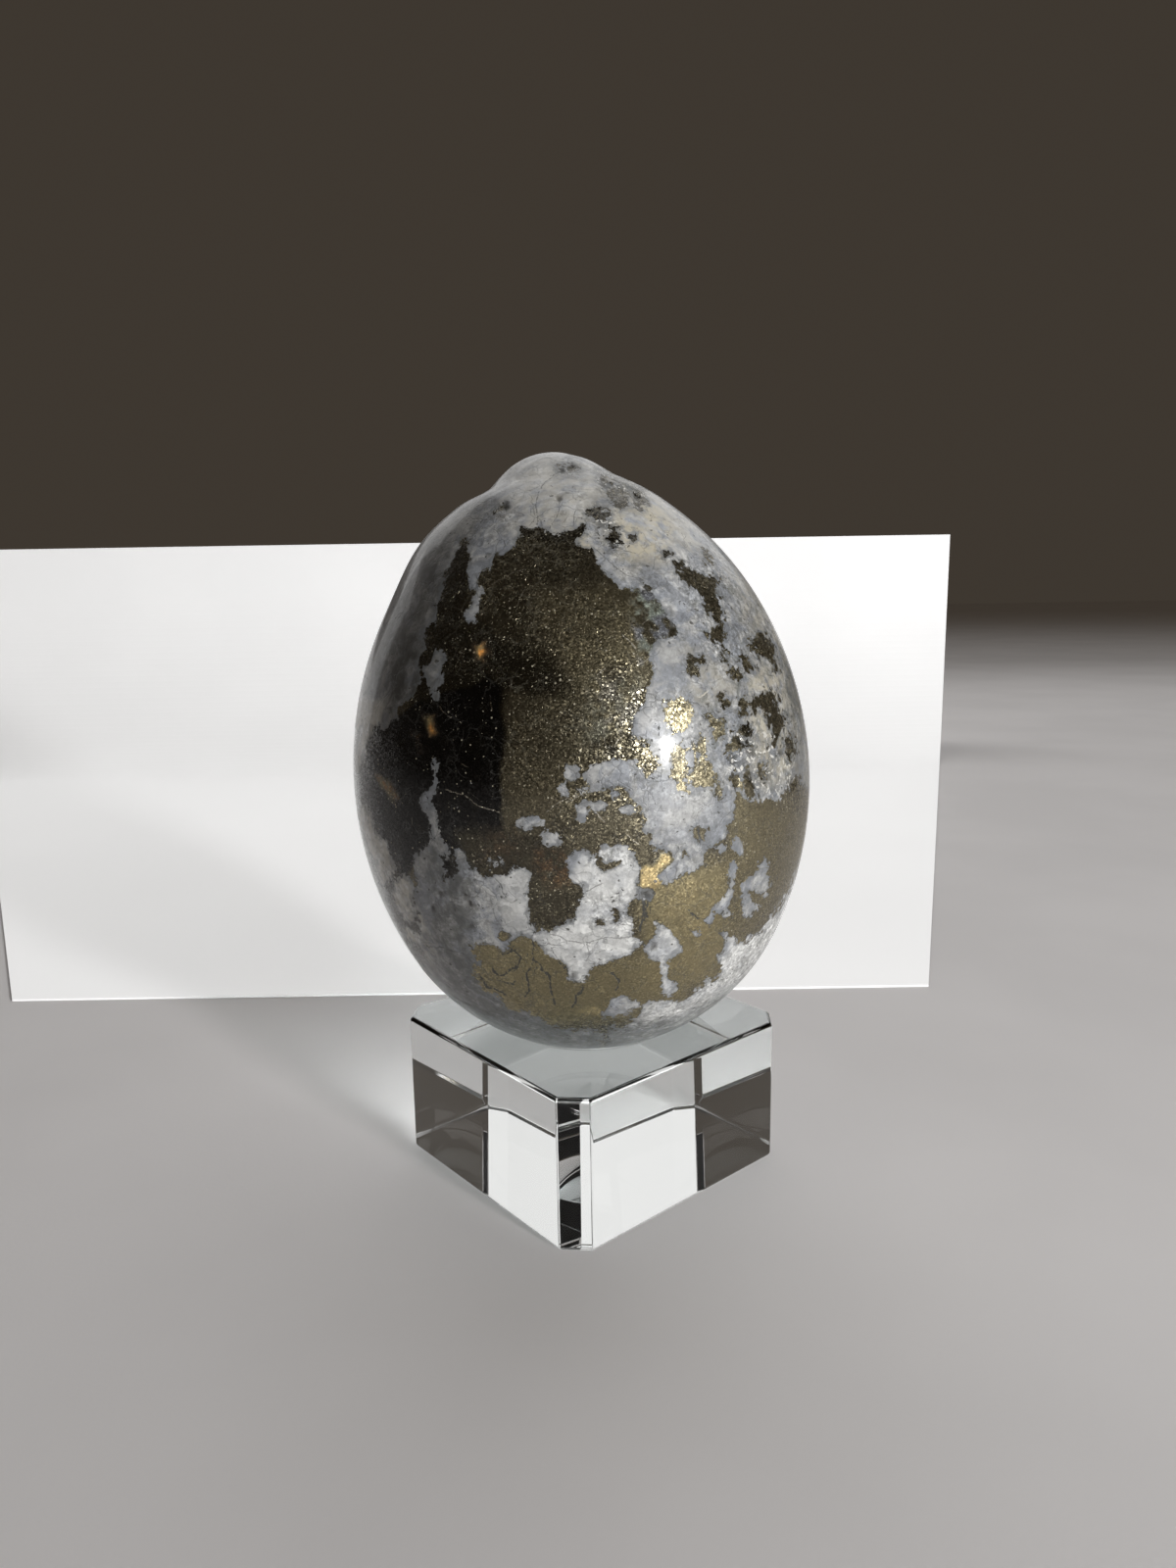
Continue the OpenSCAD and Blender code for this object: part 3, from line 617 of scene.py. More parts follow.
SCRATCHES = [
    [(497, 599), (510, 592), (524, 586), (538, 580)],
    [(527, 619), (538, 601)],
    [(632, 642), (640, 650), (646, 658), (650, 665)],
    [(649, 676), (661, 669)],
    [(619, 766), (617, 748), (620, 735)],
    [(553, 829), (575, 816), (600, 806)],
    [(583, 818), (597, 808)],
    [(450, 805), (474, 811), (490, 822), (516, 831)],
    [(503, 717), (505, 728)],
    [(609, 690), (620, 680)],
    [(638, 849), (656, 860)],
    [(608, 828), (619, 838)],
    [(523, 690), (521, 706)],
    [(447, 722), (450, 730), (459, 735)],
    [(654, 640), (663, 632)],
    [(640, 750), (627, 762)],
    [(712, 712), (720, 700)],
    [(476, 664), (470, 672)],
    [(560, 700), (572, 696)],
    [(480, 783), (474, 781)],
]

# Looks that are zones on the seen side and patches on the back: the patches' strength, wavelength in
# millimetres, seed, and the two values of their noise between which they fade in; then the zones
SOFT_LOOKS = {
    "rust": (1.0, 9.0, 83, 0.75, 1.2, RUST),
    "film": (1.0, 8.0, 87, 0.8, 1.2, FILM),
    "ash": (0.6, 12.0, 41, 0.1, 0.9, ASH_AND_SHADE),
    "warm": (0.7, 9.0, 43, 0.3, 1.0, WARM),
    "milk": (0.5, 6.0, 49, 0.2, 1.0, MILK_AND_LIGHT),
    "mixed": (0.85, 10.0, 45, -0.5, 0.5, MIXED),
    "vug": (1.0, 7.0, 47, 0.85, 1.2, VUGS),
}
DEPTH_LIMIT = 5.0  # millimetres; how far inside or outside a mass still counts
QUARTZ_LIMIT = 3.0  # millimetres; the depth inside any quartz is held within this
LINE_REACH = 7.0  # pixels; how far beside a drawn line still counts
ISLAND_DEPTH = 0.12  # millimetres; pyrite that lies deeper than this inside a quartz mass is an island
PYRITE_LOWER = 0.02  # millimetres; how much lower the softer pyrite is polished than the quartz


def seated(points, shape, stand):
    """From the egg's own axes, foot at zero, to the part's: the egg leans about the centre of its foot's
    ball."""
    foot_r = (shape.width / 2 - shape.foot_draw) / MM
    seat_r = foot_r + stand.seat_gap / MM
    ball_up = stand.height / MM + math.sqrt(seat_r**2 - (stand.rim_radius / MM) ** 2)
    c, s = math.cos(-shape.lean), math.sin(-shape.lean)
    x, y, z = points[..., 0], points[..., 1], points[..., 2] - foot_r
    return np.stack([c * x + s * z, y, c * z - s * x + ball_up], -1)


def egg_arcs(shape):
    """Centre across and up, and radius, of the foot, side and top arcs of the egg's profile, and the heights
    where they meet. The side is one large arc that runs smoothly into the two balls."""
    half, height = shape.width / 2 / MM, shape.height / MM
    foot_draw, top_draw = shape.foot_draw / MM, shape.top_draw / MM
    foot_r, top_r = half - foot_draw, half - top_draw
    apart = height - foot_r - top_r
    term = foot_draw * apart**2 - top_draw * foot_draw * (top_draw - foot_draw)
    root = math.sqrt((foot_draw * apart) ** 2 + (top_draw - foot_draw) * term)
    waist_up = term / (foot_draw * apart + root)
    side_r = (half**2 - foot_r**2 + waist_up**2) / (2 * foot_draw)
    waist = foot_r + waist_up
    foot_join = waist - side_r * waist_up / (side_r - foot_r)
    top_join = waist + side_r * (apart - waist_up) / (side_r - top_r)
    arcs = (0, foot_r, foot_r), (half - side_r, waist, side_r), (0, height - top_r, top_r)
    return arcs, (foot_join, top_join)


# Hand polishing leaves the shoulders uneven: turn and fall in degrees, width in degrees and height in
# millimetres
SWELLS = [(-90, 31, 9.6, 0.66), (90, 12.5, 19.5, -0.54), (-90, 15.5, 3.0, -0.45)]
SWELL_TURN = math.radians(35)  # how far round each swell runs
KNOB_SOFTER = 3  # how many times its width is added to the knob's join where it runs out softest


def egg_reach(fall, turn, shape):
    """Distance in millimetres from the egg's middle to its skin. fall is the angle down from the top, turn
    the angle round from the front. The reach to each arc of the profile is the far root of a line and a
    circle. The knob's is that of a line and a ball, joined on with a rounded maximum. The swells are bell
    curves on top."""
    arcs, joins = egg_arcs(shape)
    middle = shape.height / MM / 2
    across, up = np.sin(fall), np.cos(fall)

    def reach(arc):
        along = across * arc[0] + up * (arc[1] - middle)
        return along + np.sqrt(along**2 - arc[0] ** 2 - (arc[1] - middle) ** 2 + arc[2] ** 2)

    def join_fall(z):
        side = arcs[1]
        return math.atan2(side[0] + math.sqrt(side[2] ** 2 - (z - side[1]) ** 2), z - middle)

    upper = np.where(fall < join_fall(joins[1]), reach(arcs[2]), reach(arcs[1]))
    body = np.where(fall > join_fall(joins[0]), reach(arcs[0]), upper)
    for at_turn, at_fall, wide, high in SWELLS:
        off = (fall - math.radians(at_fall)) / math.radians(wide)
        body = body + high * np.exp(-(off**2) - ((turn - math.radians(at_turn)) / SWELL_TURN) ** 2)
    ball_r = shape.knob_radius / MM
    ball = np.array([-shape.knob_side / MM, 0, shape.height / MM + shape.knob_rise / MM - ball_r - middle])
    ahead = across * np.sin(turn) * ball[0] + up * ball[2]
    knob = ahead + np.sqrt(np.maximum(ahead**2 - ball @ ball + ball_r**2, 0))
    # The join is narrow on the left and over the very top, and wide elsewhere
    softer = KNOB_SOFTER * smooth_step(-0.97, -0.3, np.sin(turn)) * smooth_step(0.02, 0.12, fall)
    join_width = shape.knob_blend / MM * (1 + softer)
    near = np.maximum(join_width - np.abs(body - knob), 0) / join_width
    return np.maximum(body, knob) + near**2 * join_width / 4


def skin_points(fall, turn, shape, sunk=0.0):
    """Points of the egg's skin in its own axes, millimetres, foot at zero, sunk inwards by a depth."""
    reach = egg_reach(fall, turn, shape) - sunk
    across = reach * np.sin(fall)
    up = shape.height / MM / 2 + reach * np.cos(fall)
    return np.stack([across * np.sin(turn), -across * np.cos(turn), up], -1)


def facing_front(points, shape):
    """1 where the camera sees the skin, 0 on the back, with a soft change behind the limb: the cosine
    between the way out of a flattened egg and the way to the camera, stirred by noise."""
    outward = points - np.array([0.0, 0.0, shape.height / MM / 2])
    outward[:, 2] *= 0.6  # the egg is taller than wide, so its skin leans outwards more than its points do
    outward /= np.linalg.norm(outward, axis=1)[:, None]
    foot_up = 15.0  # about how high the egg's foot stands in the part
    to_camera = np.array([0.0, CAMERA_AT[1], CAMERA_AT[2] - foot_up]) - points
    to_camera /= np.linalg.norm(to_camera, axis=1)[:, None]
    return smooth_step(-0.62, -0.22, (outward * to_camera).sum(1) + 0.20 * ragged(points, 9.0, 61, 2))


class Skin:
    """What grows where on the egg's skin, worked out for points in the egg's own axes."""

    def __init__(self, points, shape, stand):
        warp = np.stack([ragged(points, 2.6, 11 + 7 * n) for n in range(3)], -1)
        moved = points + 0.30 * warp
        self.points = points
        self.front = facing_front(points, shape)
        self.pixel = seen_at(seated(moved, shape, stand))
        self.back_place = moved[:, [0, 2]]
        self.back_warp = 1.9 * ragged(points, 6.0, 51, 4)
        between = 6 * self.front * (1 - self.front)
        self.fray = 0.18 * ragged(points, 1.0, 71, 3) + between * ragged(points, 6.0, 65, 3)

    def within(self, at, outline, margin, where):
        """Signed distance inside an outline, at most margin outside it, worked out only near it."""
        corners = np.array(outline, float)
        near = where & (at > corners.min(0) - margin).all(1) & (at < corners.max(0) + margin).all(1)
        depth = np.full(len(at), -float(margin))
        depth[near] = np.maximum(inside_outline(at[near], corners), -margin)
        return depth

    def grown(self, front_outline, back_outline):
        """Depth in millimetres inside a mass that has an outline on the seen side, on the back, or both."""
        front = back = np.full(len(self.points), -DEPTH_LIMIT)
        if front_outline:
            margin = DEPTH_LIMIT * PIXELS_PER_MM
            front = self.within(self.pixel, front_outline, margin, self.front > 0) / PIXELS_PER_MM
        if back_outline:
            scaled = np.array(back_outline) * np.array(BACK_SHARE_MM)
            back = self.within(self.back_place, scaled, DEPTH_LIMIT, self.front < 1)
            back = back + self.back_warp * smooth_step(-DEPTH_LIMIT, 1 - DEPTH_LIMIT, back)
        front = np.minimum(front, DEPTH_LIMIT)
        return self.front * front + (1 - self.front) * np.clip(back, -DEPTH_LIMIT, DEPTH_LIMIT) + self.fray

    def any_grown(self, front_outlines, back_outlines):
        """Greatest depth inside any of several outlines."""
        depths = [self.grown(outline, None) for outline in front_outlines]
        return np.max(depths + [self.grown(None, outline) for outline in back_outlines], axis=0)

    def zone(self, outline, soft):
        """How far into a soft zone of the seen side, 0 to 1."""
        return self.front * smooth_step(-soft, soft, self.within(self.pixel, outline, soft, self.front > 0))

    def zones(self, values, listed):
        """The greatest of some zones, each at its own strength, over values that hold on the back."""
        for outline, *strength, soft in listed:
            values = np.maximum(values, (strength or [1.0])[0] * self.zone(outline, soft))
        return values

    def behind(self, wavelength, seed, low, high):
        """Patches on the back, 0 to 1, which fade in between two values of a noise."""
        return (1 - self.front) * smooth_step(low, high, ragged(self.points, wavelength, seed, 2))

    def masses(self):
        """Depth inside each quartz mass, and inside the pyrite islands."""
        names = [*FRONT_QUARTZ, *(n for n in BACK_QUARTZ if n not in FRONT_QUARTZ)]
        depths = {name: self.grown(FRONT_QUARTZ.get(name), BACK_QUARTZ.get(name)) for name in names}
        depths["quartz_flecks"] = self.any_grown(FLECKS, BACK_FLECKS)
        return depths, self.any_grown(ISLANDS, BACK_ISLANDS)

    def looks(self):
        """The pyrite's tone, much of it painted reflection, and how strong each of the soft looks is, some of
        them partly painted light and shade.
        """
        back_tone = 0.40 + 0.22 * ragged(self.points, 14.0, 31, 2) + 0.05 * ragged(self.points, 4.0, 37, 2)
        tone = self.front * 0.3 + (1 - self.front) * np.clip(back_tone, 0.08, 0.72)
        for outline, value, soft in TONES_AND_REFLECTIONS:
            into = self.zone(outline, soft)
            tone = tone * (1 - into) + value * into
        fields = {"tone": self.zones(tone, EMBERS)}
        for name, (strength, *patches, listed) in SOFT_LOOKS.items():
            fields[name] = self.zones(strength * self.behind(*patches), listed)
        return fields

    def hair_lines(self, lines):
        """Signed distance in millimetres beside the nearest of some drawn lines, and a mask of where that
        line is near."""
        count = len(self.points)
        beside, mask, nearest = np.ones(count), np.zeros(count), np.full(count, LINE_REACH)
        for line in lines:
            corners = np.array(line, float)
            low, high = corners.min(0) - LINE_REACH, corners.max(0) + LINE_REACH
            near = np.flatnonzero((self.pixel > low).all(1) & (self.pixel < high).all(1) & (self.front > 0))
            side, far, share = beside_line(self.pixel[near], line)
            closer = far < nearest[near]
            near = near[closer]
            nearest[near] = far[closer]
            beside[near] = side[closer] / PIXELS_PER_MM
            mask[near] = smooth_step(0, 0.15, share[closer]) * smooth_step(0, 0.15, 1 - share[closer])
        return beside, self.front * mask * smooth_step(LINE_REACH, 4.0, nearest)

    def sunk(self, vug):
        """Depth in millimetres of the hollows: rough ones over the vuggy zones, single bowls at the drawn
        places, and chips on the back; and a mask of the bowls."""
        rough = vug * 0.30 * np.clip(ragged(self.points, 1.5, 91, 2) + 0.15, 0, 1)
        bowls, pit = np.zeros(len(self.points)), np.zeros(len(self.points))
        for x, y, radius, depth in HOLLOWS:
            bowl = smooth_step(1.15, 0.2, np.hypot(self.pixel[:, 0] - x, self.pixel[:, 1] - y) / radius)
            bowls, pit = np.maximum(bowls, depth * bowl), np.maximum(pit, bowl)
        chips = 0.3 * self.behind(2.4, 95, 1.0, 1.3)
        return rough + 0.6 * self.front * bowls + chips, self.front * pit


def quartz_depth(depths, islands):
    """Depth inside any quartz mass and outside the islands."""
    return np.clip(np.minimum(np.max(list(depths.values()), axis=0), -islands), -QUARTZ_LIMIT, QUARTZ_LIMIT)


def egg_fields(fall, turn, shape, stand):
    """For a grid of skin points, given as angles: their places, the skin's fields and the depth inside each
    mass."""
    skin = Skin(skin_points(fall, turn, shape), shape, stand)
    depths, islands = skin.masses()
    fields = skin.looks()
    for name, lines in ("crack", CRACKS), ("scratch", SCRATCHES):
        fields[name + "_mm"], fields[name + "_near"] = skin.hair_lines(lines)
    fields["quartz_mm"] = quartz_depth(depths, islands)
    sunk, fields["pit"] = skin.sunk(fields["vug"])
    # The softer pyrite is polished a little deeper than the quartz
    sunk = sunk + PYRITE_LOWER * smooth_step(0.1, -0.1, fields["quartz_mm"])
    return seated(skin_points(fall, turn, shape, sunk), shape, stand), fields, depths


def grid_normals(points, rows, columns):
    """Outward normals of a closed grid: the cross product of the differences down it and round it."""
    grid = points.reshape(rows, columns, 3)
    down = np.gradient(grid, axis=0)
    normals = np.cross(down, np.roll(grid, -1, 1) - np.roll(grid, 1, 1))
    normals[0] = normals[1].mean(0)
    normals[-1] = normals[-2].mean(0)
    normals /= np.linalg.norm(normals, axis=-1, keepdims=True)
    return normals.reshape(-1, 3)


def mesh_of(name, points, faces, materials, slots=None, smooth=True, uv=None, fields=None, normals=None):
    """A mesh object at the origin from arrays: points in millimetres, faces as rows of point numbers."""
    mesh = bpy.data.meshes.new(name)
    corners = np.ascontiguousarray(faces, dtype=np.int32)
    count, sides = corners.shape
    mesh.vertices.add(len(points))
    mesh.vertices.foreach_set("co", (points * MM).astype(np.float32).ravel())
    mesh.loops.add(count * sides)
    mesh.loops.foreach_set("vertex_index", corners.ravel())
    mesh.polygons.add(count)
    mesh.polygons.foreach_set("loop_start", np.arange(0, count * sides, sides, dtype=np.int32))
    if slots is not None:
        mesh.polygons.foreach_set("material_index", slots.astype(np.int32))
    mesh.update(calc_edges=True)
    for material in materials:
        mesh.materials.append(material)
    for key, values in (fields or {}).items():
        mesh.attributes.new(key, "FLOAT", "POINT").data.foreach_set("value", values.astype(np.float32))
    if uv is not None:
        mesh.uv_layers.new(name="OFBake").uv.foreach_set("vector", uv.astype(np.float32).ravel())
    if smooth:
        mesh.shade_smooth()
    else:
        mesh.shade_flat()
    if normals is not None:
        mesh.normals_split_custom_set_from_vertices(normals.tolist())
    piece = bpy.data.objects.new(name, mesh)
    bpy.context.scene.collection.objects.link(piece)
    return piece


# Nodes of the materials

# Small colours that the materials mix in
SMUDGE = (0.12, 0.125, 0.11, 1.0)  # dark dust grown into the quartz
FRINGE = (0.15, 0.16, 0.17, 1.0)  # quartz where it thins out over the metal
SPECK = (0.045, 0.043, 0.035, 1.0)  # grains of pyrite in the quartz
# Painted glints: bright crystal faces in the vuggy quartz
FACET_GLINT = (0.82, 0.80, 0.74, 1.0)  # bright crystals in the vuggy quartz
# The motes are painted glints; the short scratches are polishing wear
GLINTS_AND_SCRATCHES = (0.52, 0.48, 0.36, 1.0)  # motes and short scratches in the pyrite
STAIN = (1.0, 0.56, 0.26, 1.0)  # rust, multiplied over the pyrite
FILM_GREEN, FILM_BLUE = (0.19, 0.22, 0.19, 1.0), (0.13, 0.14, 0.165, 1.0)
SCRATCH = (0.62, 0.58, 0.48, 1.0)
CRACK = (0.03, 0.03, 0.026, 1.0)
INSIDE = (0.25, 0.25, 0.24, 1.0)  # unpolished stone
SHADOW = (0.66, 0.69, 0.69, 1.0)  # what the block lets through to the floor
# Numbers of a Mix node's sockets: a, b and the result
MIX_SOCKETS = {"FLOAT": (2, 3, 0), "VECTOR": (4, 5, 1), "RGBA": (6, 7, 2)}
# A group's sockets that aren't floats
SOCKET_KINDS = {"Place": "Vector", "Tilt": "Vector", "Colour": "Color"}


class Value:
    """One output of a node. Arithmetic with it, or a comparison, adds a Math node to its tree."""

    def __init__(self, node, output=0):
        self.tree = node.id_data
        self.socket = node.outputs[output]

    def math(self, operation, *others):
        """What a Math node makes of this value and the others."""
        return Value(put(self.tree, "ShaderNodeMath", dict(enumerate([self, *others])), operation=operation))

    def __add__(self, other):
        return self.math("ADD", other)

    def __sub__(self, other):
        return self.math("SUBTRACT", other)

    def __rsub__(self, other):
        return Value(put(self.tree, "ShaderNodeMath", {0: other, 1: self}, operation="SUBTRACT"))

    def __mul__(self, other):
        return self.math("MULTIPLY", other)

    def __gt__(self, other):
        return self.math("GREATER_THAN", other)

    def __lt__(self, other):
        return self.math("LESS_THAN", other)

    def __abs__(self):
        return self.math("ABSOLUTE")

    def scaled(self, gain, shift):
        """This value times gain, plus shift."""
        return self.math("MULTIPLY_ADD", gain, shift)

    def or_more(self, other):
        """The greater of the two."""
        return self.math("MAXIMUM", other)

    def or_less(self, other):
        """The smaller of the two."""
        return self.math("MINIMUM", other)


def fill(node, inputs):
    """Fills a node's inputs with numbers and colours, or links them to values."""
    for key, value in inputs.items():
        if isinstance(value, Value):
            node.id_data.links.new(value.socket, node.inputs[key])
        else:
            node.inputs[key].default_value = value
    return node


def put(tree, kind, inputs=None, **settings):
    """Adds a node, sets its options and fills its inputs."""
    node = tree.nodes.new(kind)
    for key, value in settings.items():
        setattr(node, key, value)
    return fill(node, inputs or {})


def rgba(values):
    """A colour with full alpha."""
    return (*values, 1.0)


def ease(value, low, high, start=0.0, end=1.0):
    """As value goes from low to high, a smooth curve from start to end."""
    return Value(put(value.tree, "ShaderNodeMapRange", {0: value, 1: low, 2: high, 3: start, 4: end},
                     interpolation_type="SMOOTHSTEP"))


def mixed_by(factor, a, b, data_type="RGBA", blend_type="MIX"):
    """a where factor is 0, b where it is 1, and between them a blend; at least one of the three is a
    value."""
    tree = next(item.tree for item in (factor, a, b) if isinstance(item, Value))
    first, second, result = MIX_SOCKETS[data_type]
    node = put(tree, "ShaderNodeMix", data_type=data_type, blend_type=blend_type)
    return Value(fill(node, {0: factor, first: a, second: b}), result)


def shaded(tint, level):
    """A colour multiplied by a level."""
    grey = put(level.tree, "ShaderNodeCombineColor", {0: level, 1: level, 2: level})
    return mixed_by(1.0, tint, Value(grey), blend_type="MULTIPLY")


def speckle(place, scale, detail=2.0, rough=0.5, distortion=0.0, output=0):
    """A noise's level, 0 to 1, or its colour as output 1."""
    inputs = {"Vector": place, "Scale": scale, "Detail": detail, "Roughness": rough, "Distortion": distortion}
    return Value(put(place.tree, "ShaderNodeTexNoise", inputs), output)


def cells(place, scale, feature="F1"):
    """Random cells: the distance from their middle, or to their edge, and each cell's own colour."""
    node = put(place.tree, "ShaderNodeTexVoronoi", {"Vector": place, "Scale": scale}, feature=feature)
    return Value(node, 0), Value(node, 1)


def channels(tint):
    """The three channels of a colour: where it is a cell's own, three random numbers."""
    node = put(tint.tree, "ShaderNodeSeparateColor", {0: tint})
    return [Value(node, n) for n in range(3)]


def around_zero(tint):
    """A colour as a vector whose parts run from -0.5 to 0.5."""
    return Value(put(tint.tree, "ShaderNodeVectorMath", {0: tint, 1: (0.5, 0.5, 0.5)}, operation="SUBTRACT"))


def moved_by(place, scale, detail, far):
    """Coordinates moved by a noise's colour, at most half of far along each axis."""
    shift = around_zero(speckle(place, scale, detail, output=1))
    return Value(put(place.tree, "ShaderNodeVectorMath", {0: shift, 1: (far, far, far), 2: place},
                     operation="MULTIPLY_ADD"))


def tilt_of(tint, far):
    """A random lean for each cell, to be added to the normal."""
    return Value(put(tint.tree, "ShaderNodeVectorMath", {0: around_zero(tint), 3: far}, operation="SCALE"))


def new_group(name, inputs, outputs):
    """A shader node group with named sockets and nothing in it yet, and its inputs as values."""
    tree = bpy.data.node_groups.new(name, "ShaderNodeTree")
    for in_out, labels in ("INPUT", inputs), ("OUTPUT", outputs):
        for label in labels:
            kind = "NodeSocket" + SOCKET_KINDS.get(label, "Float")
            tree.interface.new_socket(label, in_out=in_out, socket_type=kind)
    given = tree.nodes.new("NodeGroupInput")
    return tree, {label: Value(given, label) for label in inputs}


def quartz_group(colours):
    """Milky quartz: pale clouds over a bluer ground, soft crystal blocks, a sugary mottle, specks and
    smudges of grown-in pyrite, and a thin grey fringe in places where it thins out over the metal. Its
    whitest zones are partly painted light, and its darkest partly painted shade."""
    tree, given = new_group(
        "milky quartz", ("Place", "Depth", "Ash", "Warm", "Vug", "Mixed", "Pit", "Milk"),
        ("Colour", "Roughness", "Height", "Tilt"))
    place, mixed, vug = given["Place"], given["Mixed"], given["Vug"]
    clouds = speckle(place, 0.42, 5.0, 0.62, 0.6)
    now = mixed_by(ease(clouds, 0.42, 0.59), rgba(colours.quartz_blue), rgba(colours.quartz_pale))
    # Shade: blocks of crystal, a mottle and sugar grains, the last two stronger where the minerals mix
    bent = moved_by(place, 1.3, 5.0, 1.1)
    shade = channels(cells(bent, 1.1)[1])[0].scaled(0.38, 0.74)
    mottle = speckle(place, 1.9, 9.0, 0.78)
    swing = ease(mottle, 0.33, 0.67, -0.46, 0.38) * ease(mixed, 0.0, 0.8, 0.45, 1.0)
    shade = shade * (swing + 1.0)
    sugar = cells(bent, 4.2)[1]
    glint = channels(sugar)[0]
    coarse = (glint - 0.55) * mixed.scaled(0.7, 0.08)
    shade = shade * (coarse + 1.0)
    # The whitest quartz, partly painted light on the belly, the foot and a strip along the left limb
    milky = given["Milk"] * ease(clouds, 0.30, 0.50, 0.6, 1.0)
    now = shaded(mixed_by(milky, now, rgba(colours.quartz_milk_and_light)), shade)
    # Stains: beige, and a dark grey of dust-fine pyrite that is also painted shade on the unlit left side and
    # round the foot
    warm_grain = ease(speckle(place, 0.9, 4.0), 0.34, 0.6)
    now = mixed_by(given["Warm"] * warm_grain, now, rgba(colours.quartz_warm))
    ash_and_shade_grain = ease(speckle(place, 0.6, 7.0, 0.66, 0.5), 0.36, 0.60, 0.42, 1.0)
    now = mixed_by(given["Ash"] * ash_and_shade_grain, now, rgba(colours.quartz_ash_and_shade))
    # Smudges and veils of dark dust, in torn patches, more of them where the minerals mix
    veil = mixed.scaled(0.09, speckle(place, 0.75, 8.0, 0.74, 0.9))
    now = mixed_by(ease(veil, 0.57, 0.70, 0.0, 0.72), now, SMUDGE)
    # The fringe, its width torn by noise and only along some stretches
    torn = speckle(place, 0.8, 4.0, 0.6).scaled(1.6, -0.74)
    now = mixed_by(ease(given["Depth"] - torn, 0.0, 0.34, 0.66, 0.0), now, FRINGE)
    # Specks of several sizes, in only some of the cells
    from_middle, tint = cells(bent, 1.9)
    chance, size, _ = channels(tint)
    few = vug.scaled(0.3, mixed.scaled(0.28, chance)) > 0.80
    speck = ease(from_middle - size.scaled(0.20, 0.04), 0.0, 0.06, 1.0, 0.0) * few
    # The drawn hollows are darkened to the specks' colour as well
    speck = speck.or_more(given["Pit"])
    now = mixed_by(speck * 0.85, now, SPECK)
    # Bright facets in the vuggy zones, painted glints
    now = mixed_by((glint > 0.90) * vug * 0.7, now, FACET_GLINT)
    rough = speckle(place, 1.7, 3.0).scaled(0.16, 0.29) + vug * 0.30
    put(tree, "NodeGroupOutput", {
        "Colour": now, "Roughness": rough.or_more(speck * 0.6), "Height": glint * vug * 1.2 - speck * 1.3,
        "Tilt": tilt_of(sugar, vug.scaled(0.5, 0.03))})
    return tree


def pyrite_group(colours):
    """Polished pyrite: black to olive to brown to gold by tone, the black and olive largely a painted
    reflection of dark surroundings, with a fine grain of crystals, each leaning its own way so that they
    catch the light one by one, rust stains and a film that turns grey green."""
    tree, given = new_group(
        "grown pyrite", ("Place", "Tone", "Rust", "Film", "Mixed"),
        ("Colour", "Roughness", "Height", "Tilt", "Metal"))
    place, tone = given["Place"], given["Tone"]
    drift = speckle(place, 0.55, 5.0, 0.6).scaled(0.16, -0.08)
    ramp = put(tree, "ShaderNodeValToRGB", {0: tone + drift})
    stops = [(0.02, colours.pyrite_black_reflection), (0.36, colours.pyrite_olive), (0.62, colours.pyrite_brown),
             (0.96, colours.pyrite_gold)]
    for at, _ in stops[1:-1]:
        ramp.color_ramp.elements.new(at)
    for element, (at, tint) in zip(ramp.color_ramp.elements, stops):
        element.position, element.color = at, rgba(tint)
    grain = cells(place, 7.5)[1]
    lit, _, dull = channels(grain)
    strength = ease(speckle(place, 0.5, 3.0), 0.35, 0.62, 0.5, 1.0)
    # The bright gold is smooth; in the olive a few crystals are far brighter than the rest
    depth = ease(tone, 0.40, 0.56, 1.0, 0.42)
    star = ease(lit, 0.80, 1.0, 0.0, 1.1)
    gain = ease(lit, 0.0, 0.8, -0.42, 0.22) + star
    gain = (gain * depth).scaled(strength, 1.0)
    coarse = ease(channels(cells(place, 3.7)[1])[0], 0.15, 0.85, -0.5, 0.32)
    gain = gain * coarse.scaled(given["Mixed"], 1.0)
    now = shaded(Value(ramp), gain)
    # Bright motes, which are painted glints, and short scratches left by polishing
    from_middle, tint = cells(place, 2.6)
    dense = ease(speckle(place, 0.35, 3.0), 0.35, 0.6, -0.24, -0.08)
    marks = from_middle < channels(tint)[0].scaled(0.34, dense)
    for turn, across, along in ((0.6, 4.0, 0.13), (-0.75, 4.3, 0.11), (0.1, 3.7, 0.16)):
        inputs = {0: place, 2: (0.0, turn, 0.3 * turn), 3: (across, across, along)}
        from_middle, tint = cells(Value(put(tree, "ShaderNodeMapping", inputs)), 1.0)
        marks = marks.or_more(from_middle < channels(tint)[0].scaled(3.4, -3.28))
    marks = marks * ease(tone, 0.4, 0.6, 0.8, 0.25)
    now = mixed_by(marks, now, GLINTS_AND_SCRATCHES)
    stain = given["Rust"] * ease(speckle(place, 1.4, 4.0), 0.36, 0.6)
    now = mixed_by(stain, now, STAIN, blend_type="MULTIPLY")
    # The film turns from green to blue from place to place
    turning = ease(speckle(place, 0.5, 2.0, 0.4), 0.42, 0.58)
    film_tint = shaded(mixed_by(turning, FILM_GREEN, FILM_BLUE), gain)
    film = given["Film"] * ease(speckle(place, 1.0, 4.0), 0.40, 0.56, 0.0, 0.8)
    put(tree, "NodeGroupOutput", {
        "Colour": mixed_by(film, now, film_tint), "Metal": 1.0 - marks.or_more(film).or_more(stain * 0.75),
        "Roughness": dull.scaled(0.15, ease(tone, 0.0, 0.6, 0.13, 0.35)), "Height": lit * strength,
        "Tilt": tilt_of(grain, strength * 0.30)})
    return tree


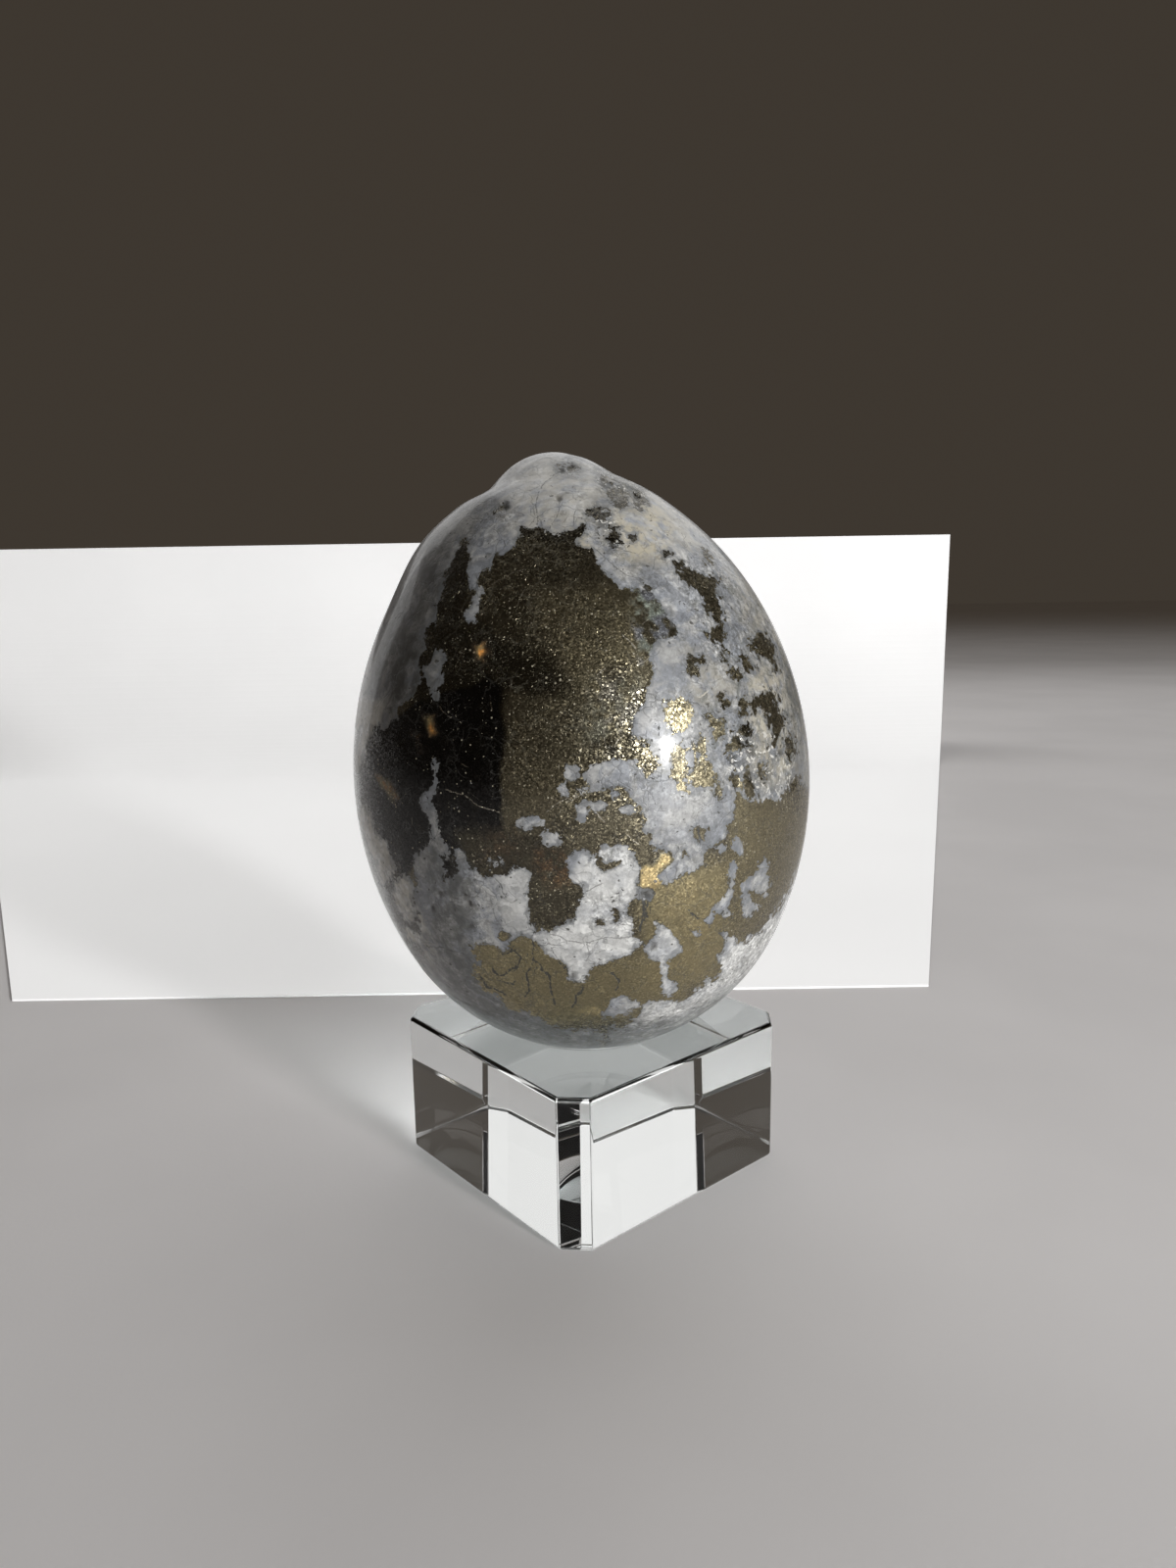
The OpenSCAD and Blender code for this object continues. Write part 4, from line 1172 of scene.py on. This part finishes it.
def line_group():
    """Mask of hair lines: thin where the signed distance beside a drawn line is small, broken up by noise,
    and a net of procedural hair cracks besides."""
    tree, given = new_group("hair lines", ("Place", "Beside", "Near", "Width", "Net"), ("Mask",))
    place = given["Place"]
    off = abs(given["Beside"] + speckle(place, 4.2, 5.0, 0.7).scaled(0.30, -0.15))
    broken = ease(speckle(place, 1.9, 2.0), 0.32, 0.44)
    uneven = ease(speckle(place, 3.1, 2.0), 0.35, 0.65, 0.25, 1.5)
    width = given["Width"] * broken * uneven
    drawn = (1.0 - ease(off, width, width + 0.03)) * (ease(given["Near"], 0.15, 0.5) * broken)
    # A wide net and a fine one, each in only some places
    edge = cells(moved_by(place, 0.7, 5.0, 1.6), 0.24, "DISTANCE_TO_EDGE")[0]
    net = ease(edge, 0.006, 0.018, 0.7, 0.0) * ease(speckle(place, 0.33, 2.0), 0.52, 0.60)
    fine = cells(moved_by(place, 1.1, 4.0, 0.8), 0.8, "DISTANCE_TO_EDGE")[0]
    fine_net = ease(fine, 0.018, 0.055, 0.6, 0.0) * ease(speckle(place, 0.5, 3.0), 0.46, 0.58)
    put(tree, "NodeGroupOutput", {"Mask": drawn.or_more(net.or_more(fine_net) * given["Net"])})
    return tree


def bare_material(name):
    """A material with only a Principled shader and its output, and that shader."""
    material = bpy.data.materials.new(name)
    material.use_nodes = True
    return material, next(n for n in material.node_tree.nodes if n.type == "BSDF_PRINCIPLED")


def place_in_mm(tree):
    """Object coordinates in millimetres."""
    coords = Value(put(tree, "ShaderNodeTexCoord"), "Object")
    return Value(put(tree, "ShaderNodeVectorMath", {0: coords, 3: 1 / MM}, operation="SCALE"))


def stone_material(name, groups):
    """The polished stone: quartz where the skin's quartz depth, frayed by fine noise, is above zero, else
    pyrite; hair cracks and scratches lie over both."""
    material, shader = bare_material(name)
    tree = material.node_tree
    place = place_in_mm(tree)

    def field(key):
        return Value(put(tree, "ShaderNodeAttribute", attribute_name=key, attribute_type="GEOMETRY"), "Fac")

    def from_group(kind, fields, **others):
        inputs = {"Place": place, **{key.capitalize(): field(key) for key in fields}, **others}
        return put(tree, "ShaderNodeGroup", inputs, node_tree=groups[kind])

    mixed = field("mixed")
    # Depth is held down where the minerals mix, so that the fray breaks it up into islands there
    depth = field("quartz_mm").or_less(ease(mixed, 0.2, 1.0, QUARTZ_LIMIT, 0.40))
    fine = speckle(place, 1.8, 8.0, 0.72).scaled(1.5, -0.75)
    steps = channels(cells(moved_by(place, 2.6, 4.0, 0.5), 2.6)[1])[0].scaled(0.44, -0.22)
    frayed = depth + (fine + steps) * ease(mixed, 0.0, 1.0, 0.66, 1.3)
    is_quartz = ease(frayed, -0.02, 0.02)
    quartz = from_group("quartz", ("ash", "warm", "vug", "pit", "milk"), Depth=frayed, Mixed=mixed)
    pyrite = from_group("pyrite", ("tone", "rust", "film"), Mixed=mixed)
    cracks = Value(from_group(
        "lines", (), Beside=field("crack_mm"), Near=field("crack_near"),
        Width=ease(frayed, -0.1, 0.1, 0.085, 0.035), Net=ease(frayed, -0.1, 0.1, 0.7, 1.0)))
    scratches = Value(from_group(
        "lines", (), Beside=field("scratch_mm"), Near=field("scratch_near"), Width=0.03, Net=0.0))
    base = mixed_by(is_quartz, Value(pyrite, "Colour"), Value(quartz, "Colour"))
    base = mixed_by(scratches * 0.7, base, SCRATCH)
    # A dark line here and there between the two minerals
    here_and_there = ease(speckle(place, 0.6, 3.0), 0.42, 0.54, 0.0, 0.85)
    seam = ease(abs(frayed + 0.04), 0.02, 0.075, 1.0, 0.0) * here_and_there
    crack = (cracks * ease(frayed, -0.1, 0.2, 0.95, 0.5)).or_more(seam)

    def of_both(output, data_type="FLOAT"):
        return mixed_by(is_quartz, Value(pyrite, output), Value(quartz, output), data_type)

    height = of_both("Height") - cracks * 1.2
    bump = Value(put(tree, "ShaderNodeBump", {"Strength": 1.0, "Distance": 0.000015, "Height": height}))
    leaning = put(tree, "ShaderNodeVectorMath", {0: bump, 1: of_both("Tilt", "VECTOR")}, operation="ADD")
    fill(shader, {
        "Base Color": mixed_by(crack, base, CRACK),
        "Roughness": of_both("Roughness").or_more(cracks * 0.6),
        "Metallic": (1.0 - is_quartz) * (1.0 - crack) * Value(pyrite, "Metal"),
        "Normal": Value(put(tree, "ShaderNodeVectorMath", {0: Value(leaning)}, operation="NORMALIZE")),
        "IOR": 1.54,
        # The polish lies over both as a thin clear film, so that the lamp's image is small with a soft glow
        "Coat Weight": 0.4,
        "Coat Roughness": 0.08})
    return material


def heart_material():
    """Unpolished stone on the inner faces, which are never seen."""
    material, shader = bare_material("stone_heart")
    fill(shader, {"Base Color": INSIDE, "Roughness": 0.7})
    return material


def glass_material(tint):
    """Clear block: plain clear glass that lets the lamps through to the floor."""
    material, shader = bare_material("clear_block_glass")
    tree = material.node_tree
    fill(shader, {"Base Color": rgba(tint), "Transmission Weight": 1.0, "IOR": 1.49, "Roughness": 0.0})
    through = put(tree, "ShaderNodeBsdfTransparent", {0: SHADOW})
    in_shadow = Value(put(tree, "ShaderNodeLightPath"), "Is Shadow Ray")
    both = put(tree, "ShaderNodeMixShader", {0: in_shadow, 1: Value(shader), 2: Value(through)})
    fill(next(n for n in tree.nodes if n.type == "OUTPUT_MATERIAL"), {"Surface": Value(both)})
    return material


def paper_material(name, tint, bounce, glow, grain):
    """Plain matt card with a fine grain. It is as pale as given to whoever looks at it, straight, in metal
    or through glass, and bounces less light than that; glow is added in the same way."""
    material, shader = bare_material(name)
    tree = material.node_tree
    place = place_in_mm(tree)
    path = put(tree, "ShaderNodeLightPath")
    reflected = Value(path, "Is Glossy Ray").or_more(Value(path, "Is Transmission Ray"))
    seen = Value(path, "Is Camera Ray").or_more(reflected)
    level = Value(put(tree, "ShaderNodeMapRange", {0: seen, 1: 0.0, 2: 1.0, 3: bounce, 4: 1.0}))
    level = level * ease(speckle(place, 0.02, 3.0), 0.3, 0.7, 0.97, 1.03)
    bump = put(tree, "ShaderNodeBump", {
        "Strength": grain, "Distance": 0.0001, "Height": speckle(place, 1.6, 3.0, 0.6)})
    fill(shader, {
        "Base Color": shaded(rgba(tint), level), "Roughness": 0.65, "Normal": Value(bump),
        "Emission Color": rgba(tint), "Emission Strength": seen * glow})
    return material


# The pieces

# The egg's CAD nodes. A node's first word is its mineral, which picks the piece's material, and its piece
# is named the other way round, such as crown_of_quartz for quartz_crown
EGG_NODES = [
    "pyrite_ground", "pyrite_islands", "quartz_crown", "quartz_left_streak", "quartz_left_band",
    "quartz_left_patch", "quartz_left_mass", "quartz_belly_mass", "quartz_right_band", "quartz_right_patch",
    "quartz_cross_patch", "quartz_foot_arc", "quartz_flecks", "quartz_back_seam", "quartz_back_patch",
    "quartz_back_foot",
]
GROUND, ISLAND, FIRST_QUARTZ = 0, 1, 2  # places in that list
TINY = 1e-9  # keeps a division from failing
NEAR_POLE = 1e-6  # radians from a pole


def snapped_to_edges(fall, turn, quartz):
    """Moves grid points that lie within half a cell of the minerals' edge onto it: one Newton step down the
    slope of the quartz depth, in cells. Returns the moved angles and which points were moved."""
    down = np.gradient(quartz, axis=0)
    sideways = (np.roll(quartz, -1, 1) - np.roll(quartz, 1, 1)) / 2
    slope = down**2 + sideways**2 + TINY
    step_down, step_round = -quartz * down / slope, -quartz * sideways / slope
    near = (np.abs(step_down) < 0.5) & (np.abs(step_round) < 0.5)
    near[[0, 1, -2, -1]] = False
    rows, columns = fall.shape
    fall = fall + near * step_down * math.pi / (rows - 1)
    turn = turn + near * step_round * 2 * math.pi / columns
    return fall, turn, near


def labelled_triangles(rows, columns, quartz, depths):
    """Two triangles for each cell of the grid, split along the diagonal that lies nearer the minerals' edge,
    and for each the place in EGG_NODES of the mass that it belongs to."""
    row, column = np.meshgrid(np.arange(rows - 1), np.arange(columns), indexing="ij")
    after = (column + 1) % columns
    a, b = (row * columns + column).ravel(), (row * columns + after).ravel()
    c, d = ((row + 1) * columns + after).ravel(), ((row + 1) * columns + column).ravel()
    straight = (np.abs(quartz[a]) + np.abs(quartz[c]) <= np.abs(quartz[b]) + np.abs(quartz[d]))[:, None]
    first = np.where(straight, np.stack([a, c, b], -1), np.stack([a, d, b], -1))
    second = np.where(straight, np.stack([a, d, c], -1), np.stack([b, d, c], -1))
    triangles = np.concatenate([first, second])
    # The pole rows are one point each, so triangles that had two corners there are left out
    last = (rows - 1) * columns
    triangles = np.where(triangles < columns, 0, triangles)
    triangles = np.where(triangles >= last, last, triangles)
    triangles = triangles[(triangles != np.roll(triangles, -1, 1)).all(1)]
    among = np.stack([depths[node][triangles].mean(1) for node in EGG_NODES[FIRST_QUARTZ:]], -1)
    in_pyrite = np.where(among.max(1) > ISLAND_DEPTH, ISLAND, GROUND)
    return triangles, np.where(quartz[triangles].mean(1) > 0, among.argmax(1) + FIRST_QUARTZ, in_pyrite)


def open_edges(triangles):
    """The directed edges that only one triangle has."""
    edges = triangles[:, [[0, 1], [1, 2], [2, 0]]].reshape(-1, 2).astype(np.int64)
    size = triangles.max() + 1
    forward, backward = edges[:, 0] * size + edges[:, 1], edges[:, 1] * size + edges[:, 0]
    return edges[~np.isin(forward, backward)]


def piece_map(fall, turn, triangles, node):
    """A map of the skin for each triangle corner: the crown from above, the rest unrolled round the girth,
    with its seam on the far side from the piece. A point that has no turn of its own, at a pole, takes its
    neighbour's, and the piece's first point is taken as such a one too."""
    corner_fall, corner_turn = fall[triangles], turn[triangles]
    if node == "quartz_crown":
        above = np.stack([corner_fall * np.sin(corner_turn), corner_fall * np.cos(corner_turn)], -1)
        return (above / (2 * corner_fall.max()) + 0.5).reshape(-1, 2)
    at_pole = (triangles == triangles.min()) | (corner_fall < NEAR_POLE) | (corner_fall > math.pi - NEAR_POLE)
    heading = np.angle(np.exp(1j * corner_turn[~at_pole]).mean()) if node != "pyrite_ground" else 0.0
    centred = np.mod(corner_turn - heading + math.pi, 2 * math.pi)
    first = np.where(at_pole[:, :1], centred[:, 1:2], centred[:, :1])
    centred = centred + 2 * math.pi * np.round((first - centred) / (2 * math.pi))
    centred = np.where(at_pole, first, centred)
    flat = np.stack([centred, math.pi - corner_fall], -1).reshape(-1, 2)
    low, high = flat.min(0), flat.max(0)
    return (flat - low) / np.maximum(high - low, TINY)


def make_mineral(name, triangles, uv, points, normals, fields, heart, materials):
    """One mineral mass: its part of the skin, and walls that run from its outline to the egg's heart, so
    that all masses together fill the egg without gaps or overlaps."""
    outline = open_edges(triangles)
    used, compact = np.unique(triangles, return_inverse=True)
    compact = compact.reshape(-1, 3)
    place = np.zeros(triangles.max() + 1, int)
    place[used] = np.arange(len(used))
    walls = np.stack([place[outline[:, 1]], place[outline[:, 0]], np.full(len(outline), len(used))], -1)
    slots = np.concatenate([np.zeros(len(compact)), np.ones(len(walls))])
    return mesh_of(
        name, np.concatenate([points[used], heart[None]]), np.concatenate([compact, walls]), materials, slots,
        uv=np.concatenate([uv, np.zeros((3 * len(walls), 2))]),
        fields={key: np.append(values[used], 0.0) for key, values in fields.items()},
        normals=np.concatenate([normals[used], [[0.0, 0.0, 1.0]]]))


class STONE_EGG_OT_minerals(bpy.types.Operator):
    """Builds the egg: sixteen mineral masses that fill it between them"""

    bl_idname = "stone_egg.minerals"
    bl_label = "Minerals of the egg"

    def execute(self, context):
        shape, stand = context.scene.stone_egg_shape, context.scene.stone_egg_stand
        rows, columns = shape.up + 1, shape.around
        falls, turns = np.linspace(0, math.pi, rows), np.arange(columns) * 2 * math.pi / columns - math.pi
        fall, turn = np.meshgrid(falls, turns, indexing="ij")
        plain = Skin(skin_points(fall.ravel(), turn.ravel(), shape), shape, stand)
        fall, turn, near = snapped_to_edges(fall, turn, quartz_depth(*plain.masses()).reshape(rows, columns))
        fall, turn = fall.ravel(), turn.ravel()
        points, fields, depths = egg_fields(fall, turn, shape, stand)
        # A pole's row is one point
        for values in [points, *fields.values(), *depths.values()]:
            values[:columns] = values[0]
            values[-columns:] = values[-columns]
        quartz = np.where(near.ravel(), 0.0, fields["quartz_mm"])
        triangles, label = labelled_triangles(rows, columns, quartz, depths)
        normals = grid_normals(points, rows, columns)
        heart = seated(np.array([0.0, 0.0, shape.height / MM / 2]), shape, stand)
        colours = context.scene.stone_egg_colours
        groups = {"quartz": quartz_group(colours), "pyrite": pyrite_group(colours), "lines": line_group()}
        looks = {mineral: stone_material("polished_" + mineral, groups) for mineral in ("pyrite", "quartz")}
        inside = heart_material()
        for number, node in enumerate(EGG_NODES):
            own = triangles[label == number]
            if not len(own):
                raise RuntimeError("no skin is left for " + node)
            mineral, where = node.split("_", 1)
            uv = piece_map(fall, turn, own, node)
            piece = make_mineral(
                where + "_of_" + mineral, own, uv, points, normals, fields, heart, [looks[mineral], inside])
            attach(piece, "egg")
            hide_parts(node)
        return {"FINISHED"}


SIDE_STEPS = 12  # mesh points along each of the block's eight sides
DISH_RINGS = 24  # rings of mesh points from the dish's middle to its rim
SHARP = math.radians(25)  # edges that turn by more than this are rounded


def stand_outline(half, cut):
    """Corners and points between them of a square with cut corners, counter-clockwise, the same number on
    each side."""
    inner = half - cut
    corners = np.array([(half, -inner), (half, inner), (inner, half), (-inner, half), (-half, inner),
                        (-half, -inner), (-inner, -half), (inner, -half)])
    share = np.arange(SIDE_STEPS)[None, :, None] / SIDE_STEPS
    ahead = np.roll(corners, -1, 0)
    return (corners[:, None] * (1 - share) + ahead[:, None] * share).reshape(-1, 2)


class STONE_EGG_OT_block(bpy.types.Operator):
    """Builds the clear block with its dish"""

    bl_idname = "stone_egg.block"
    bl_label = "Clear block"

    def execute(self, context):
        stand = context.scene.stone_egg_stand
        half, height = stand.width / 2 / MM, stand.height / MM
        cut, bevel = stand.corner_cut / MM, stand.edge_bevel / MM
        rim, ball = stand.rim_radius / MM, stand.dish_radius / MM
        outline = stand_outline(half, cut)
        # The bevel draws the outline in by its leg on each side, so the cut's leg shrinks by what the
        # diagonal leaves
        drawn = stand_outline(half - bevel, cut - bevel * (2 - math.sqrt(2)))
        around = len(outline)
        bearing = np.arctan2(outline[:, 1], outline[:, 0])
        ring = np.stack([np.cos(bearing), np.sin(bearing)], -1)

        def level(flat, z):
            return np.concatenate([flat, np.full((around, 1), z)], 1)

        ball_up = height + math.sqrt(ball**2 - rim**2)
        dish = [level(ring * ball * math.sin(a), ball_up - ball * math.cos(a))
                for a in np.linspace(0, math.asin(rim / ball), DISH_RINGS + 1)[1:]]
        sides = [level(outline, z) for z in (bevel, height / 2, height - bevel)]
        rows = [level(outline * 0.5, 0.0), level(drawn, 0.0), *sides, level(drawn, height), *dish[::-1]]
        x, y, z = np.concatenate([[(0, 0, 0)], *rows, [(0, 0, ball_up - ball)]]).T
        c, s = math.cos(stand.turn), math.sin(stand.turn)
        points = np.stack([c * x - s * y, s * x + c * y, z], -1)
        index = 1 + np.arange(len(rows) * around).reshape(len(rows), around)
        ahead = np.roll(index, -1, 1)
        quads = np.stack([index[:-1], ahead[:-1], ahead[1:], index[1:]], -1).reshape(-1, 4)
        underside = np.stack([np.zeros(around, int), ahead[0], index[0]], -1)
        dish_floor = np.stack([np.full(around, len(points) - 1), index[-1], ahead[-1]], -1)
        mesh = bpy.data.meshes.new("block_of_clear_glass")
        faces = [*quads.tolist(), *underside.tolist(), *dish_floor.tolist()]
        mesh.from_pydata((points * MM).tolist(), [], faces)
        mesh.update()
        mesh.shade_smooth()
        mesh.set_sharp_from_angle(angle=SHARP)
        mesh.materials.append(glass_material(context.scene.stone_egg_colours.glass))
        piece = bpy.data.objects.new(mesh.name, mesh)
        context.scene.collection.objects.link(piece)
        rounding = piece.modifiers.new("polished edges", "BEVEL")
        rounding.width, rounding.segments = stand.edge_round, 3
        rounding.limit_method, rounding.angle_limit = "ANGLE", SHARP
        rounding.harden_normals = True
        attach(piece, "stand")
        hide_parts("clear_block")
        return {"FINISHED"}


# Lamps: azimuth to the right of the camera's side and elevation above the floor in degrees, distance from the
# point they face, and width and height, in metres
LAMPS = {
    "key": (42, 11, 0.6, (0.055, 0.055)),
    "top": (170, 60, 1.1, (1.2, 0.86)),
    "panel": (180, 31, 0.6, (0.9, 0.26)),
    "rim": (-134, 8, 0.5, (0.14, 0.3)),
}
LAMPS_AIM = (0, 0, 0.035)  # metres
FLOOR_REACH = 3000.0  # millimetres each way
FLOOR_GAP = 0.02  # millimetres between floor and block, which keep the block's underside a mirror
CARD_FRONT, CARD_BACK, CARD_TOP, CARD_BEND = 45.0, 300.0, 79.0, 60.0  # millimetres; the last is a radius
CARD_THICK = 0.3  # millimetres
CARD_SIDES = (-0.58, 0.34)  # how far each side edge runs out for each millimetre away from the camera


def soft_lamp(name, watts, azimuth, elevation, distance, size):
    """An area lamp that stands round the egg and faces it."""
    a, e = math.radians(azimuth), math.radians(elevation)
    outward = Vector((math.sin(a) * math.cos(e), -math.cos(a) * math.cos(e), math.sin(e)))
    data = bpy.data.lights.new(name, "AREA")
    data.shape, data.size, data.size_y = "RECTANGLE", *size
    data.energy = watts
    lamp = bpy.data.objects.new(name, data)
    lamp.location = Vector(LAMPS_AIM) + outward * distance
    lamp.rotation_euler = (-outward).to_track_quat("-Z", "Y").to_euler()
    lamp.visible_camera = False
    bpy.context.scene.collection.objects.link(lamp)


def make_camera():
    """The photograph's camera."""
    data = bpy.data.cameras.new("camera")
    data.sensor_width = 36.0
    data.lens = data.sensor_width * FOCAL / PHOTO[1]
    data.clip_start, data.clip_end = 0.001, 20.0
    camera = bpy.data.objects.new("camera", data)
    right, up, forward = camera_axes()
    columns = np.stack([right, up, -forward, np.array(CAMERA_AT) * MM], -1)
    camera.matrix_world = Matrix((*columns.tolist(), (0, 0, 0, 1)))
    bpy.context.scene.collection.objects.link(camera)
    bpy.context.scene.camera = camera


class STONE_EGG_OT_stage(bpy.types.Operator):
    """Makes the camera, the floor and backdrop, and the soft lamps"""

    bl_idname = "stone_egg.stage"
    bl_label = "Stage"

    def execute(self, context):
        scene, look = context.scene, context.scene.stone_egg_stage
        scene.view_settings.view_transform = "Standard"
        make_camera()
        paper = paper_material("pale_floor", look.floor, bounce=0.75, glow=0.0, grain=0.12)
        card = paper_material("pale_backdrop", look.backdrop, bounce=0.9, glow=0.42, grain=0.03)
        low = -FLOOR_GAP
        corners = [(x * FLOOR_REACH, y * FLOOR_REACH, low) for x, y in ((-1, -1), (1, -1), (1, 1), (-1, 1))]
        floor = mesh_of("floor", np.array(corners), [(0, 1, 2, 3)], [paper])
        # A white card lies behind the object and bends up; its side edges run along the camera's lines of
        # sight
        bend_at = CARD_BACK - CARD_BEND
        profile = [(CARD_FRONT, low), (CARD_FRONT, CARD_THICK), (bend_at, CARD_THICK)]
        profile += [(bend_at + CARD_BEND * math.sin(a), CARD_THICK + CARD_BEND - CARD_BEND * math.cos(a))
                    for a in np.linspace(0.04, math.pi / 2, 40)]
        profile += [(CARD_BACK, CARD_TOP), (CARD_BACK + 1, CARD_TOP), (CARD_BACK + 1, low)]
        sheet = np.array([(side * (y - CAMERA_AT[1]), y, z) for y, z in profile for side in CARD_SIDES])
        strips = 2 * np.arange(len(profile) - 1)[:, None] + np.array([[0, 1, 3, 2]])
        wall = mesh_of("backdrop", sheet, strips, [card], smooth=False)
        world = bpy.data.worlds.new("studio")
        world.use_nodes = True
        fill(world.node_tree.nodes["Background"], {0: rgba(look.surround), 1: 1.0})
        scene.world = world
        for name, placing in LAMPS.items():
            soft_lamp(name, getattr(look, name + "_power"), *placing)
        return {"FINISHED"}


class STONE_EGG_PT_sidebar(bpy.types.Panel):
    """Lists the pieces of the stone egg and their sizes and colours"""

    bl_label = "Stone egg"
    bl_space_type = "VIEW_3D"
    bl_region_type = "UI"
    bl_category = "Stone egg"

    def draw(self, context):
        for heading, group, operator in PANEL_ROWS:
            box = self.layout.box()
            box.label(text=heading)
            settings = getattr(context.scene, group)
            for name in settings.bl_rna.properties.keys():
                if name not in ("rna_type", "name"):
                    box.prop(settings, name)
            if operator:
                box.operator(operator)


PANEL_ROWS = [
    ("Egg", "stone_egg_shape", "stone_egg.minerals"),
    ("Stand", "stone_egg_stand", "stone_egg.block"),
    ("Colours", "stone_egg_colours", None),
    ("Stage", "stone_egg_stage", "stone_egg.stage"),
]
GROUPS = {
    "stone_egg_shape": EggShape,
    "stone_egg_stand": StandShape,
    "stone_egg_colours": StoneColours,
    "stone_egg_stage": StageLook,
}
OPERATORS = [STONE_EGG_OT_minerals, STONE_EGG_OT_block, STONE_EGG_OT_stage]
CLASSES = [*GROUPS.values(), *OPERATORS, STONE_EGG_PT_sidebar]


def register():
    for item in CLASSES:
        bpy.utils.register_class(item)
    for name, kind in GROUPS.items():
        setattr(bpy.types.Scene, name, PointerProperty(type=kind))


def unregister():
    for name in GROUPS:
        delattr(bpy.types.Scene, name)
    for item in reversed(CLASSES):
        bpy.utils.unregister_class(item)


def main():
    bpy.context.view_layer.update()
    register()
    bpy.ops.stone_egg.stage()
    bpy.ops.stone_egg.block()
    bpy.ops.stone_egg.minerals()


if __name__ == "__main__":
    main()
